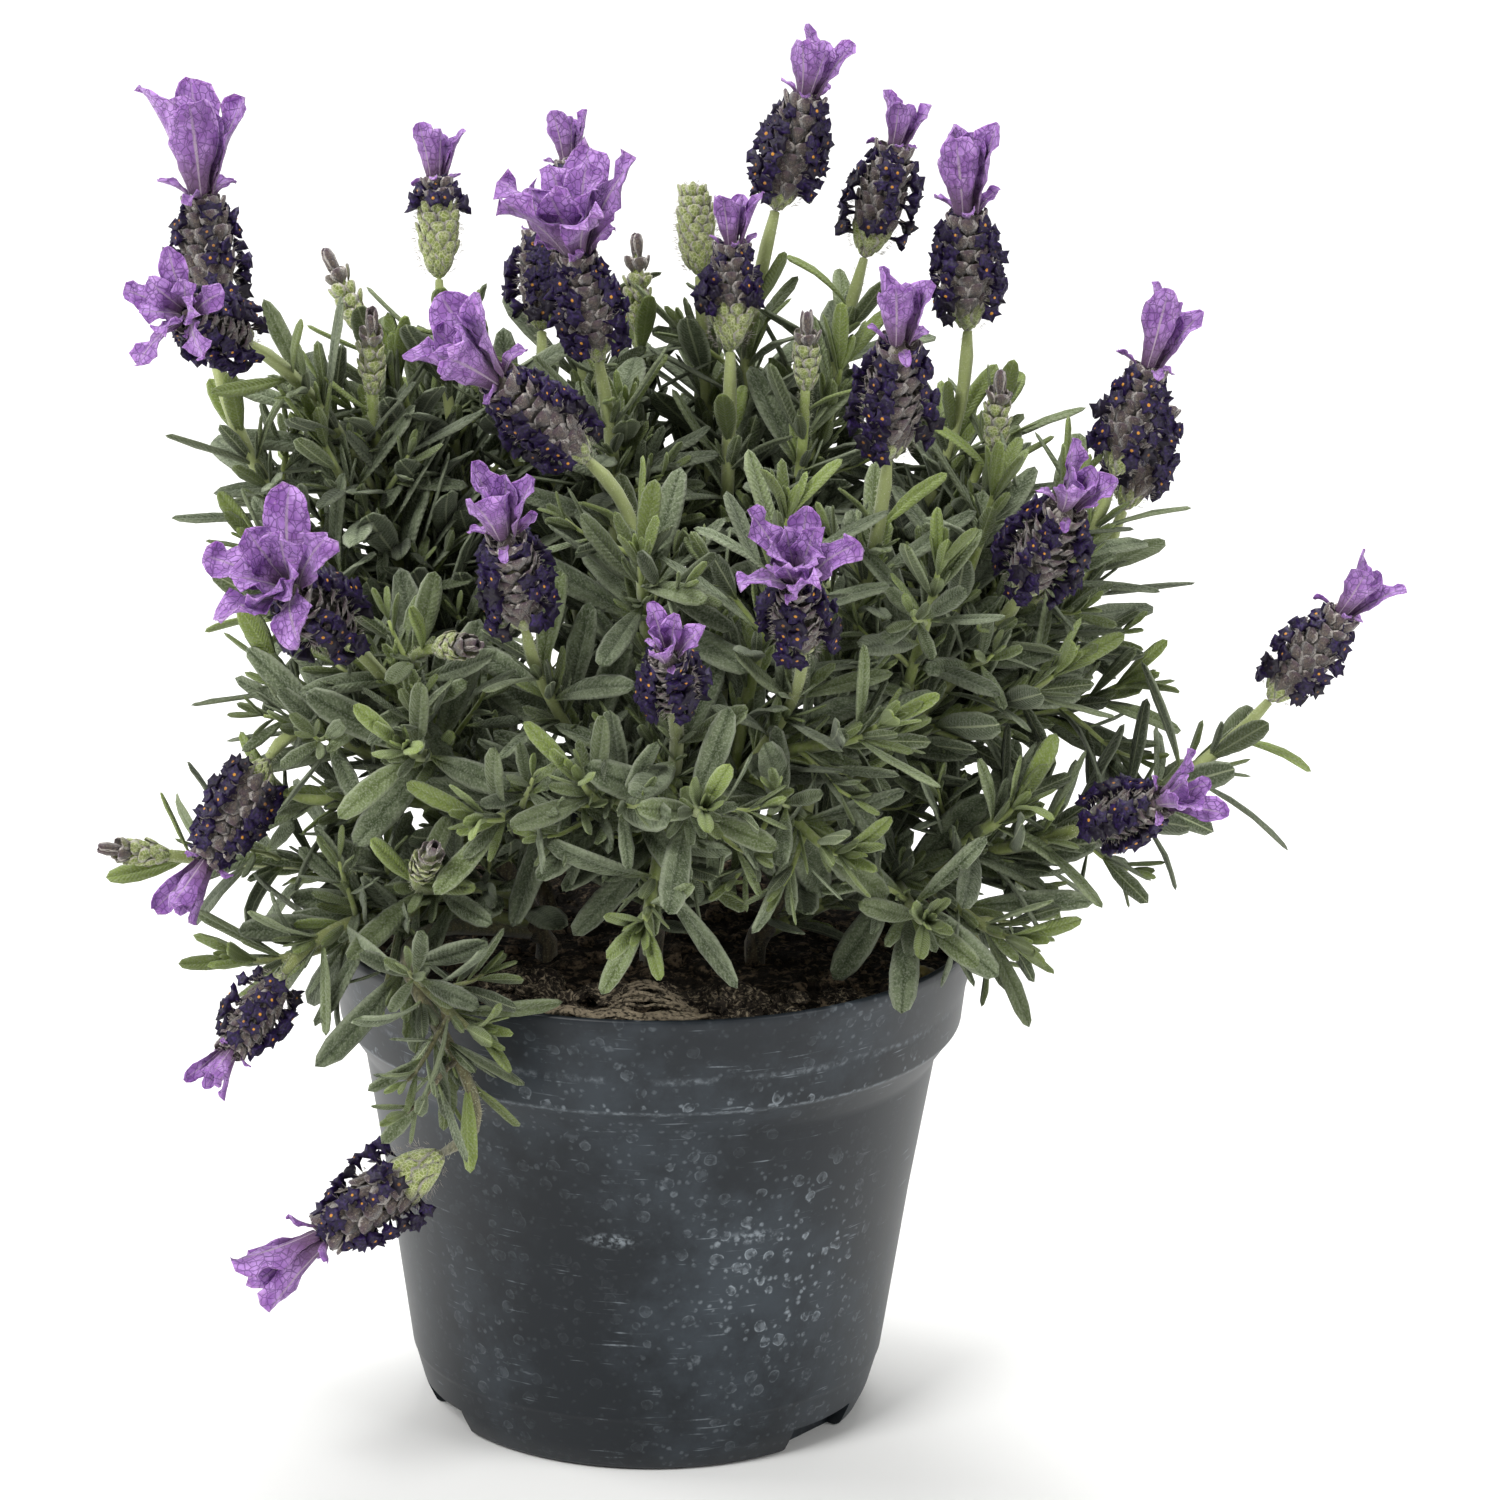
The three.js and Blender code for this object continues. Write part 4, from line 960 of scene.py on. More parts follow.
@cache
def coma_material():
    """Thin living bracts, papery and creased: violet, netted with darker veins, with a pale hairy
    midrib and a dusky foot."""
    settings = bpy.context.scene.lavender_flowers
    material, add = new_material("Papery_violet_bract")
    coords, place, _ = own_coordinates(add)
    across = add("Math", [place[0]], operation="ABSOLUTE")
    warp = add("TexNoise", {"Vector": coords, "Scale": 1 / (3.5 * MM), "Detail": 3.0})
    # Painted highlight: a paler violet where the warp noise raises the bract's bump, so the bulges
    # look lit.
    light = add("MapRange", [warp, 0.35, 0.7], **SMOOTH)
    colour = add("Mix", {0: light, 6: settings.violet, 7: settings.bulge_highlight}, **RGBA)
    # Main veins keep their share of the width, so they spread as the bract widens.
    sway = add("Math", [warp, 1.8], operation="MULTIPLY")
    fan = add("Math", [place[0], 2.6, sway], operation="MULTIPLY_ADD")
    lines = add("Math", [fan, math.pi], operation="MULTIPLY")
    lines = add("Math", [lines], operation="SINE")
    lines = add("Math", [lines], operation="ABSOLUTE")
    lines = add("MapRange", [lines, 0.02, 0.3, 0.7, 0.0], **SMOOTH)
    # The net between them has cells about 2 mm wide.
    net = add("TexVoronoi", {"Vector": coords, "Scale": 1 / (2.0 * MM)}, **EDGES)
    net = add("MapRange", [net, 0.0, 0.09, 0.75, 0.0], **SMOOTH)
    veins = add("Math", [lines, net], operation="MAXIMUM")
    colour = add("Mix", {0: veins, 6: colour, 7: settings.vein}, **RGBA)
    foot = add("MapRange", [place[1], 0.08, 0.6, 0.85, 0.0], **SMOOTH)
    colour = add("Mix", {0: foot, 6: colour, 7: linear("#5b4358")}, **RGBA)
    midrib = add("MapRange", [across, 0.03, 0.1, 0.8, 0.0], **SMOOTH)
    fading = add("MapRange", [place[1], 0.5, 1.0, 1.0, 0.2])
    midrib = add("Math", [midrib, fading], operation="MULTIPLY")
    colour = add("Mix", {0: midrib, 6: colour, 7: linear("#b09fae")}, **RGBA)
    relief = add("Math", [veins, -0.4, warp], operation="MULTIPLY_ADD")
    normal = add("Bump", {"Height": relief, "Strength": 0.7, "Distance": 0.6 * MM})
    surface = add("BsdfPrincipled", {
        "Base Color": colour, "Normal": normal, "Roughness": 0.55, "Specular IOR Level": 0.3,
        "Sheen Weight": 0.15, "Subsurface Weight": 0.25, "Subsurface Scale": 1 * MM,
        "Subsurface Radius": (0.8, 0.4, 1.0)})
    add("OutputMaterial", [surface], None)
    return material


@cache
def wool_material():
    """Cottony plant hair: pale grey, a little green on the stalks, matt and soft at its edges."""
    settings = bpy.context.scene.lavender_flowers
    material, add = new_material("Cottony_plant_hair")
    coords, _, tone = own_coordinates(add)
    patches = add("TexNoise", {"Vector": coords, "Scale": 1 / (5 * MM)})
    tint = add("Mix", {0: tone[1], 6: settings.wool, 7: linear("#8f877c")}, **RGBA)
    colour = add("Mix", {0: tone[0], 6: tint, 7: linear("#ccd0b0")}, **RGBA)
    dusk = add("MapRange", [patches, 0.45, 0.7, 0.0, 0.4], **SMOOTH)
    colour = add("Mix", {0: dusk, 6: colour, 7: linear("#6f6672")}, **RGBA)
    surface = add("BsdfPrincipled", {
        "Base Color": colour, "Roughness": 0.9, "Specular IOR Level": 0.1, "Sheen Weight": 0.3})
    add("OutputMaterial", [surface], None)
    return material


# Where the middle of the dried splash and of the two rubbed patches lie on the pot.
SPLASH = (37, -60, 54)
RUBS = ((26.2, -64.0, 67), (-9.2, -68.0, 67.2))


def pot_material():
    """Injection-moulded polypropylene, satin slate grey, dusted with dried lime water: small spots
    and rings, pale rubbed patches, and fine scratches that run round the pot."""
    settings = bpy.context.scene.lavender_pot
    material, add = new_material("Moulded_polypropylene")
    coords = add("TexCoord", {}, "Object")
    x, y, z = add("SeparateXYZ", [coords]).node.outputs
    haze = add("TexNoise", {"Vector": coords, "Scale": 1 / (55 * MM), "Detail": 3.0})
    mottle = add("TexNoise", {"Vector": coords, "Scale": 1 / (10 * MM), "Detail": 5.0,
                              "Roughness": 0.65})
    flecks = add("TexNoise", {"Vector": coords, "Scale": 1 / (1.6 * MM), "Detail": 3.0})
    # Drops dry into filled rings about 3 mm wide and into small dots, most of them low on the
    # front, right of the middle, and a few all over.
    stray = add("TexNoise", {"Vector": coords, "Scale": 1 / (3 * MM), "Detail": 2.0}, "Color")
    stray = add("VectorMath", [stray, (1.4 * MM, 1.4 * MM, 1.4 * MM), coords],
                operation="MULTIPLY_ADD")
    drops = add("TexVoronoi", {"Vector": stray, "Scale": 1 / (6 * MM)})
    ring = add("Math", [drops, 0.26], operation="SUBTRACT")
    ring = add("Math", [ring], operation="ABSOLUTE")
    ring = add("MapRange", [ring, 0.0, 0.055, 0.8, 0.0], **SMOOTH)
    inside = add("MapRange", [drops, 0.24, 0.28, 0.36, 0.0], **SMOOTH)
    ring = add("Math", [ring, inside], operation="MAXIMUM")
    dots = add("TexVoronoi", {"Vector": stray, "Scale": 1 / (2.6 * MM)})
    dots = add("MapRange", [dots, 0.12, 0.34, 0.6, 0.0], **SMOOTH)
    spot = add("VectorMath", [coords, [c * MM for c in SPLASH]], "Value", operation="DISTANCE")
    spot = add("Math", [mottle, -0.03, spot], operation="MULTIPLY_ADD")
    splash = add("MapRange", [spot, -4 * MM, 26 * MM, 1.0, 0.0], **SMOOTH)
    wet = add("MapRange", [haze, 0.42, 0.66, 0.06, 0.36], **SMOOTH)
    wet = add("Math", [wet, splash], operation="MAXIMUM")
    # Drops that hung along the lip left a close row of rings above it.
    hung = add("MapRange", [z, 111.5 * MM, 107 * MM, 0.0, 0.75], **SMOOTH)
    above = add("MapRange", [z, (LIP[1] - 1) * MM, LIP[1] * MM], **SMOOTH)
    hung = add("Math", [hung, above], operation="MULTIPLY")
    wet = add("Math", [wet, hung], operation="MAXIMUM")
    marks = add("Math", [ring, dots], operation="MAXIMUM")
    marks = add("Math", [marks, wet], operation="MULTIPLY")
    broken = add("MapRange", [flecks, 0.36, 0.62, 0.0, 0.75], **SMOOTH)
    marks = add("Math", [marks, broken], operation="MULTIPLY")
    # Two rubbed patches show beside each other at the same height.
    rubs = []
    for middle in RUBS:
        near = add("VectorMath", [coords, [c * MM for c in middle]], operation="SUBTRACT")
        near = add("VectorMath", [near, (1.0, 0.4, 3.2)], operation="MULTIPLY")
        near = add("VectorMath", [near], "Value", operation="LENGTH")
        rubs.append(add("MapRange", [near, 2 * MM, 8.5 * MM, 1.0, 0.0], **SMOOTH))
    rub = add("Math", [rubs[0], rubs[1]], operation="MAXIMUM")
    chalk = add("MapRange", [flecks, 0.42, 0.66, 0.0, 0.5], **SMOOTH)
    chalk = add("Math", [chalk, rub], operation="MULTIPLY")
    # Scratches are about 0.1 mm wide, and are drawn 0.4 mm wide so that they show.
    around = add("Math", [y, x], operation="ARCTAN2")
    along = add("Math", [around, 5.0], operation="MULTIPLY")
    lane = add("Math", [z, 1 / (0.9 * MM)], operation="MULTIPLY")
    lanes = add("CombineXYZ", [along, lane])
    scratch = add("TexNoise", {"Vector": lanes, "Scale": 1.0, "Detail": 2.0})
    scratch = add("MapRange", [scratch, 0.62, 0.74], **SMOOTH)
    worn = add("MapRange", [mottle, 0.48, 0.62, 0.0, 0.35], **SMOOTH)
    worn = add("Math", [rub, 0.75, worn], operation="MULTIPLY_ADD")
    scratch = add("Math", [scratch, worn], operation="MULTIPLY")
    # Painted highlight: a broken pale line along the edge of the lip under the band, in the lime
    # colour. Lime lies in wisps on the band.
    line = add("Math", [z, 105.2 * MM], operation="SUBTRACT")
    line = add("Math", [line], operation="ABSOLUTE")
    line = add("MapRange", [line, 0.0, 0.9 * MM, 0.55, 0.0], **SMOOTH)
    wisp = add("Math", [mottle, 3.5 * MM, z], operation="MULTIPLY_ADD")
    wisp = add("Math", [wisp, 116.5 * MM], operation="SUBTRACT")
    wisp = add("Math", [wisp], operation="ABSOLUTE")
    wisp = add("MapRange", [wisp, 0.0, 1.4 * MM, 0.4, 0.0], **SMOOTH)
    patchy = add("MapRange", [mottle, 0.45, 0.6], **SMOOTH)
    wisp = add("Math", [wisp, patchy], operation="MULTIPLY")
    line = add("Math", [line, wisp], operation="MAXIMUM")
    broken = add("MapRange", [flecks, 0.4, 0.65, 0.1, 0.6], **SMOOTH)
    line = add("Math", [line, broken], operation="MULTIPLY")
    pale = add("Math", [marks, line], operation="MAXIMUM")
    pale = add("Math", [pale, scratch], operation="MAXIMUM")
    pale = add("Math", [pale, chalk], operation="MAXIMUM")
    cloud = add("Math", [mottle, 0.45, haze], operation="MULTIPLY_ADD")
    cloud = add("MapRange", [cloud, 0.66, 0.95, 0.0, 0.17], **SMOOTH)
    cloud = add("Math", [splash, 0.07, cloud], operation="MULTIPLY_ADD")
    colour = add("Mix", {0: cloud, 6: settings.plastic, 7: linear("#5f6a74")}, **RGBA)
    colour = add("Mix", {0: pale, 6: colour, 7: settings.lime_and_highlight}, **RGBA)
    rough = add("Math", [pale, cloud], operation="ADD")
    rough = add("MapRange", {0: rough, 3: 0.42, 4: 0.8})
    grain = add("TexNoise", {"Vector": coords, "Scale": 1 / (0.6 * MM), "Detail": 2.0})
    relief = add("Math", [grain, 0.3, pale], operation="MULTIPLY_ADD")
    normal = add("Bump", {"Height": relief, "Strength": 0.25, "Distance": 0.15 * MM})
    surface = add("BsdfPrincipled", {"Base Color": colour, "Roughness": rough, "Normal": normal,
                                     "IOR": 1.49, "Specular IOR Level": 0.33})
    add("OutputMaterial", [surface], None)
    return material


def rough_earth(name, dark, light, grain, curl):
    """Loose organic matter, torn and weathered: dark where it is moist, paler where fibres and
    crumbs have dried, and painted shade in its hollows. Its grain is in millimetres."""
    material, add = new_material(name)
    coords, _, tone = own_coordinates(add)
    coarse = add("TexNoise", {"Vector": coords, "Scale": 1 / (grain * MM), "Detail": 5.0,
                              "Roughness": 0.65, "Distortion": curl})
    fine = add("TexNoise", {"Vector": coords, "Scale": 2.4 / (grain * MM), "Detail": 4.0})
    dry = add("MapRange", [coarse, 0.49, 0.62, 0.0, 0.85], **SMOOTH)
    dry = add("Math", [tone[0], 0.85, dry], operation="MULTIPLY_ADD", use_clamp=True)
    colour = add("Mix", {0: dry, 6: dark, 7: light}, **RGBA)
    # Painted shade: the hollows of the fine grain, which the bump sinks, darken towards black.
    gaps = add("MapRange", [fine, 0.36, 0.54, 0.9, 0.0], **SMOOTH)
    colour = add("Mix", {0: gaps, 6: colour, 7: linear("#0f0c09")}, **RGBA)
    relief = add("Math", [coarse, fine], operation="ADD")
    normal = add("Bump", {"Height": relief, "Strength": 1.0, "Distance": grain * 0.45 * MM})
    surface = add("BsdfPrincipled", {"Base Color": colour, "Normal": normal, "Roughness": 0.92,
                                     "Specular IOR Level": 0.2})
    add("OutputMaterial", [surface], None)
    return material


def bead_material():
    """Resin-coated fertiliser: a thin satin skin over mineral grains, olive-gold and uneven."""
    settings = bpy.context.scene.lavender_soil
    material, add = new_material("Resin_coated_granule")
    coords, _, tone = own_coordinates(add)
    cloud = add("TexNoise", {"Vector": coords, "Scale": 1 / (2.5 * MM), "Detail": 4.0})
    mottled = add("MapRange", [cloud, 0.35, 0.7], **SMOOTH)
    colour = add("Mix", {0: mottled, 6: settings.bead, 7: linear("#75663a")}, **RGBA)
    dull = add("Math", [tone[1], 0.5], operation="MULTIPLY")
    colour = add("Mix", {0: dull, 6: colour, 7: linear("#8d8458")}, **RGBA)
    pits = add("TexNoise", {"Vector": coords, "Scale": 1 / (0.6 * MM)})
    normal = add("Bump", {"Height": pits, "Strength": 0.3, "Distance": 0.2 * MM})
    surface = add("BsdfPrincipled", {"Base Color": colour, "Normal": normal, "Roughness": 0.42})
    add("OutputMaterial", [surface], None)
    return material


def rounded(profile):
    """A profile with each corner but its two ends cut back twice, by about a quarter of the shorter
    of the corner's sides and by 1 mm at most."""
    for share in (0.22, 0.25):
        before, after = np.roll(profile, 1, 0), np.roll(profile, -1, 0)
        reach = share * np.minimum(np.linalg.norm(profile - before, axis=1),
                                   np.linalg.norm(profile - after, axis=1)).clip(max=4)
        back = profile + unit(before - profile) * reach[:, None]
        forth = profile + unit(after - profile) * reach[:, None]
        cut = np.stack([back, forth], 1).reshape(-1, 2)[2:-2]
        profile = np.concatenate([profile[:1], cut, profile[-1:]])
    return profile


def drain_cutter():
    """A mesh of one box at each drain, through the foot of the pot's wall."""
    box = np.array([(i, j, k) for i in (-7, 7) for j in (-1, 1) for k in (-9, DRAIN_HEIGHT)],
                   float) * (1, DRAIN_WIDTH / 2, 1) + (FOOT_RADIUS + 2, 0, 0)
    sides = [(0, 1, 3, 2), (4, 6, 7, 5), (0, 4, 5, 1), (2, 3, 7, 6), (0, 2, 6, 4), (1, 5, 7, 3)]
    corners, faces = [], []
    for i in range(DRAINS):
        turn = math.radians(FIRST_DRAIN + i * 360 / DRAINS)
        spin = np.array([(math.cos(turn), math.sin(turn), 0),
                         (-math.sin(turn), math.cos(turn), 0), (0, 0, 1)])
        faces += [tuple(len(box) * i + k for k in side) for side in sides]
        corners += (box @ spin * MM).tolist()
    cutter = bpy.data.meshes.new("slots")
    cutter.from_pydata(corners, [], faces)
    return cutter


class LAVENDER_OT_pot(bpy.types.Operator):
    """Builds the nursery pot with its drain slots"""
    bl_idname = "lavender.pot"
    bl_label = "Pot"

    def execute(self, context):
        settings = context.scene.lavender_pot
        rim, height, wall = (settings.rim_radius / MM, settings.height / MM, settings.wall / MM)
        # From the pad underneath over the ring, up the outside, over the rim, down inside and
        # across the floor.
        profile = rounded(np.array([
            (PAD_RADIUS, 0), (PAD_RADIUS + 1.5, HOLLOW_UNDER),
            (RING_INNER - 1.5, HOLLOW_UNDER), (RING_INNER, 0), (FOOT_RADIUS, 0),
            (FOOT_RADIUS + 3, 6), (FOOT_LINE[0] - 0.1, FOOT_LINE[1] - 1),
            (FOOT_LINE[0] + 0.35, FOOT_LINE[1]), (63.9, 38), (67.2, 60), (70.3, 78), WALL_TOP,
            (LIP[0] - 1.2, LIP[1] - 1.2), LIP, BAND, (rim - 1.2, height - 6), (rim, height - 2.4),
            (rim, height - 0.7), (rim - 0.8, height), (rim - wall - 0.1, height - 0.7),
            (BAND[0] - wall, BAND[1]), (LIP[0] - wall, LIP[1] + 1),
            (WALL_TOP[0] - wall, WALL_TOP[1] + 1), (67.2 - wall, 60.5),
            (FOOT_LINE[0] - wall, FOOT_LINE[1]), (FOOT_RADIUS + 1, FLOOR_TOP + 2),
            (PAD_RADIUS, FLOOR_TOP)]))
        radius, level = profile.T
        angle = full_turn(POT_SIDES)
        # The plastic is a few tenths of a millimetre out of round, more so towards the rim.
        uneven = 1 - 0.0022 * (1 + np.sin(2 * angle + 0.7) * 0.6
                               + np.sin(5 * angle) * 0.4) * (level[:, None] / height)
        reach = radius[:, None] * uneven
        rings = joined(reach * np.cos(-angle), reach * np.sin(-angle), level[:, None])[None, ::-1]
        batch = Batch()
        batch.add(rings, np.array([(0, 0, FLOOR_TOP)], float), np.zeros((1, 3)),
                  np.zeros(3), np.zeros((1, 4)))
        pot = make_piece("pot_shell", batch, pot_material(), ["pot"], POT_CREASE)
        slots = bpy.data.objects.new("slots", drain_cutter())
        context.scene.collection.objects.link(slots)
        cut = pot.modifiers.new("Slots", "BOOLEAN")
        cut.object, cut.operation, cut.solver = slots, "DIFFERENCE", "EXACT"
        context.view_layer.update()
        shape = pot.evaluated_get(context.evaluated_depsgraph_get())
        done = bpy.data.meshes.new_from_object(shape)
        pot.modifiers.clear()
        bpy.data.objects.remove(slots)
        pot.data = done
        pot.data.set_sharp_from_angle(angle=math.radians(POT_CREASE))
        return {"FINISHED"}


def soil_height(x, y):
    """Height of the soil: a low dome, plus noise of 22 and 7 mm and ridges of noise of 2.4 mm."""
    middle = 1 - (x * x + y * y) / SOIL_RADIUS ** 2
    ground = SOIL_EDGE + middle * (SOIL_MIDDLE - SOIL_EDGE)
    return (ground + 1.0 * smooth_noise(x / 22, y / 22, 3) + 1.3 * smooth_noise(x / 7, y / 7, 8)
            + 0.8 * np.abs(smooth_noise(x / 2.4, y / 2.4, 5)))


class LAVENDER_OT_soil(bpy.types.Operator):
    """Builds the soil with its crumbs"""
    bl_idname = "lavender.soil"
    bl_label = "Soil"

    def execute(self, context):
        settings = context.scene.lavender_soil
        angle = -full_turn(SOIL_SIDES)
        radius = SOIL_RADIUS * np.linspace(0.002, 1, SOIL_ROWS)[:, None] ** 0.6
        x, y = radius * np.cos(angle), radius * np.sin(angle)
        top = joined(x, y, soil_height(x, y))
        side = np.stack([joined(r * np.cos(angle), r * np.sin(angle), z) for r, z in SOIL_WALL])
        batch = Batch()
        batch.add(np.concatenate([top, side])[None], np.array([(0, 0, soil_height(0.0, 0.0))]),
                  np.array([(0, 0, SOIL_FLOOR)]), np.zeros(3), np.zeros((1, 4)))
        # Loose crumbs, most of them about 2 mm wide and the largest over 6 mm.
        index = np.arange(settings.crumbs)
        reach = SOIL_IN_SIGHT * np.sqrt(scatter(index, 51))
        turn = 2 * np.pi * scatter(index, 52)
        spots = joined(reach * np.cos(turn), reach * np.sin(turn))
        size = 0.9 + 2.4 * scatter(index, 53) ** 2.5
        centres = np.concatenate([spots, (soil_height(*spots.T) + 0.15 * size)[:, None]], 1)
        tones = joined(scatter(index, 54) ** 2, scatter(index, 55), 0 * size, 0 * size)
        lumps(batch, centres, size, ring=8, rows=4, rough=0.35, flat=0.7, tones=tones, seed=11)
        earth = rough_earth("Moist_peat_compost", settings.peat, settings.fibre, grain=3.0,
                            curl=0.4)
        make_piece("soil_surface", batch, earth, ["soil"], smooth_angle=60)
        return {"FINISHED"}


class LAVENDER_OT_bark(bpy.types.Operator):
    """Builds the bark chunks, the wood strip and the fibres"""
    bl_idname = "lavender.bark"
    bl_label = "Bark and fibres"

    def execute(self, context):
        settings = context.scene.lavender_soil
        batch = Batch()
        degrees = np.radians([243, 285, 237, 249, 290, 258, 301, 228, 272, 265, 296, 313])
        radius = np.array([66, 67, 61, 67, 62, 54, 66, 66, 52, 73, 73, 70])
        size = np.array([9.4, 7.6, 7.4, 6.6, 6.4, 5.2, 4.6, 5.4, 4.4, 3.2, 3.8, 3.6])
        spots = joined(radius * np.cos(degrees), radius * np.sin(degrees))
        low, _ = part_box("bark")
        seat = low.z / MM
        centres = np.concatenate([spots, (seat + 0.36 * size)[:, None]], 1)
        tones = joined(0.12 * scatter(size, 61), scatter(size, 62), 0 * size, 0 * size)
        lumps(batch, centres, size, ring=42, rows=24, rough=0.6, flat=0.6, tones=tones, seed=23)
        # The wood strip is four rough strands side by side, along the front of the rim.
        turn = np.radians(np.linspace(243, 286, 30))
        path = joined(72 * np.cos(turn), 72 * np.sin(turn), seat + 3.6 + 0.4 * np.sin(turn * 40))
        outwards = unit(joined(np.cos(turn), np.sin(turn), 0 * turn))
        for step in range(4):
            tube_along(batch, path + outwards * (step - 1.5) * 1.05,
                       0.75 + 0.25 * np.sin(turn * 25 + step), 8,
                       (0.95, 0.3 * step, 0, 0), rough=0.35, seed=step)
        for i in range(16):
            # The first six fibres lie side by side in one curl behind the strip.
            curl = i < 6
            start = np.radians(257 + 0.9 * i if curl else 236 + 62 * scatter(i, 71))
            reach = 54 + 2.3 * i if curl else 60 + 13 * scatter(i, 72)
            swing = np.linspace(0, 1, 14)
            bend = start + (0.42 if curl else (scatter(i, 73) - 0.5) * 0.5) * swing
            far = reach + (14 * swing ** 3 if curl else (scatter(i, 74) - 0.5) * 16 * swing)
            far = np.minimum(far + np.sin(7 * swing + i), SOIL_IN_SIGHT)
            x, y = far * np.cos(bend), far * np.sin(bend)
            arch = 4.5 if curl else 2 * scatter(i, 75)
            z = soil_height(x, y) + 1.2 + arch * np.sin(np.pi * swing)
            radii = np.full(len(swing), 0.35 + 0.35 * scatter(i, 76))
            tube_along(batch, joined(x, y, z), radii, 6, (0.9, 0.5, 0, 0), rough=0.2, seed=i)
        bark = rough_earth("Split_pine_bark", settings.bark, linear("#a89a82"), grain=3.2,
                           curl=2.8)
        make_piece("bark_and_fibres", batch, bark, ["bark"], smooth_angle=50)
        return {"FINISHED"}


class LAVENDER_OT_beads(bpy.types.Operator):
    """Builds the balls of slow-release fertiliser"""
    bl_idname = "lavender.beads"
    bl_label = "Fertiliser beads"

    def execute(self, context):
        patches = {
            "beads_left": [(-73, 8), (-71, 10.4), (-73.6, 11), (-70.6, 7.2), (-69, 13.5), (-66, 4)],
            "beads_right": [(66, -34), (68.4, -32), (65.6, -31), (62, -38), (70, -27)],
        }
        material = bead_material()
        for name, spots in patches.items():
            low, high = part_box(name)
            middle = (low.z + high.z) / 2 / MM
            spots = np.array(spots, float)
            index = np.arange(len(spots))
            # The last two of a patch lie lower, half sunk in the soil.
            height = np.where(index < len(spots) - 2, middle, middle - 2.2)
            size = 1.9 + 0.3 * scatter(index, 81)
            tones = joined(0 * size, scatter(index, 82), 0 * size, 0 * size)
            batch = Batch()
            lumps(batch, np.concatenate([spots, height[:, None]], 1), size, ring=28, rows=16,
                  rough=0.04, flat=0.96, tones=tones, seed=31)
            make_piece(f"{name}_balls", batch, material, [name])
        return {"FINISHED"}


class LAVENDER_OT_stems(bpy.types.Operator):
    """Builds the trunks, the square stems, the flower stalks and the sprouts"""
    bl_idname = "lavender.stems"
    bl_label = "Stems"

    def execute(self, context):
        shoots, _, sprouts = plant()
        for branch, batch in each_branch("stems", stem_material(), "stem"):
            hole, crown = np.array(branch["hole"], float), np.array(branch["crown"], float)
            neck = np.array([*hole, NECK])
            path = [np.array([*hole, TRUNK_BOTTOM + 0.5]), np.array([*hole, 120.0])]
            path += [neck + (crown - neck) * t for t in np.linspace(0, 1.02, 9)]
            tube_along(batch, path, np.linspace(2.9, 2.2, len(path)), 16, (0, 0, 0, 0),
                       rough=0.28, seed=crown[0])
            for shoot in shoots + sprouts:
                if shoot["branch"] != branch["name"]:
                    continue
                t = np.linspace(0.0, 1.0, 6 if "sprout" in shoot else 18)
                path = bezier(shoot["curve"], t)
                if "sprout" in shoot:
                    radii = np.interp(t, (0, 1), (0.9, 0.5))
                elif "at" not in shoot:
                    radii = np.interp(t, (0, 0.05, 0.8, 1), (1.2, 1.7, 1.3, 0.6))
                elif "bud" in shoot:
                    radii = np.interp(t, (0, 0.05, 1), (1.3, 1.8, 1.4))
                else:
                    radii = np.interp(t, (0, 0.05, 0.6, 0.96, 1), (1.3, 1.75, 1.5, 1.6, 1.1))
                age = float(np.clip((path[:, 2].mean() - 120) / 120 + 0.15, 0.12, 0.9))
                stalk = 1.0 if "at" in shoot and shoot["bare"] > BUD_STALK else 0.25
                tube_along(batch, path, radii, 6 if "sprout" in shoot else 12,
                           (age, stalk, 0, 0), corners=0.13, rough=0.06, seed=shoot["index"])
        return {"FINISHED"}


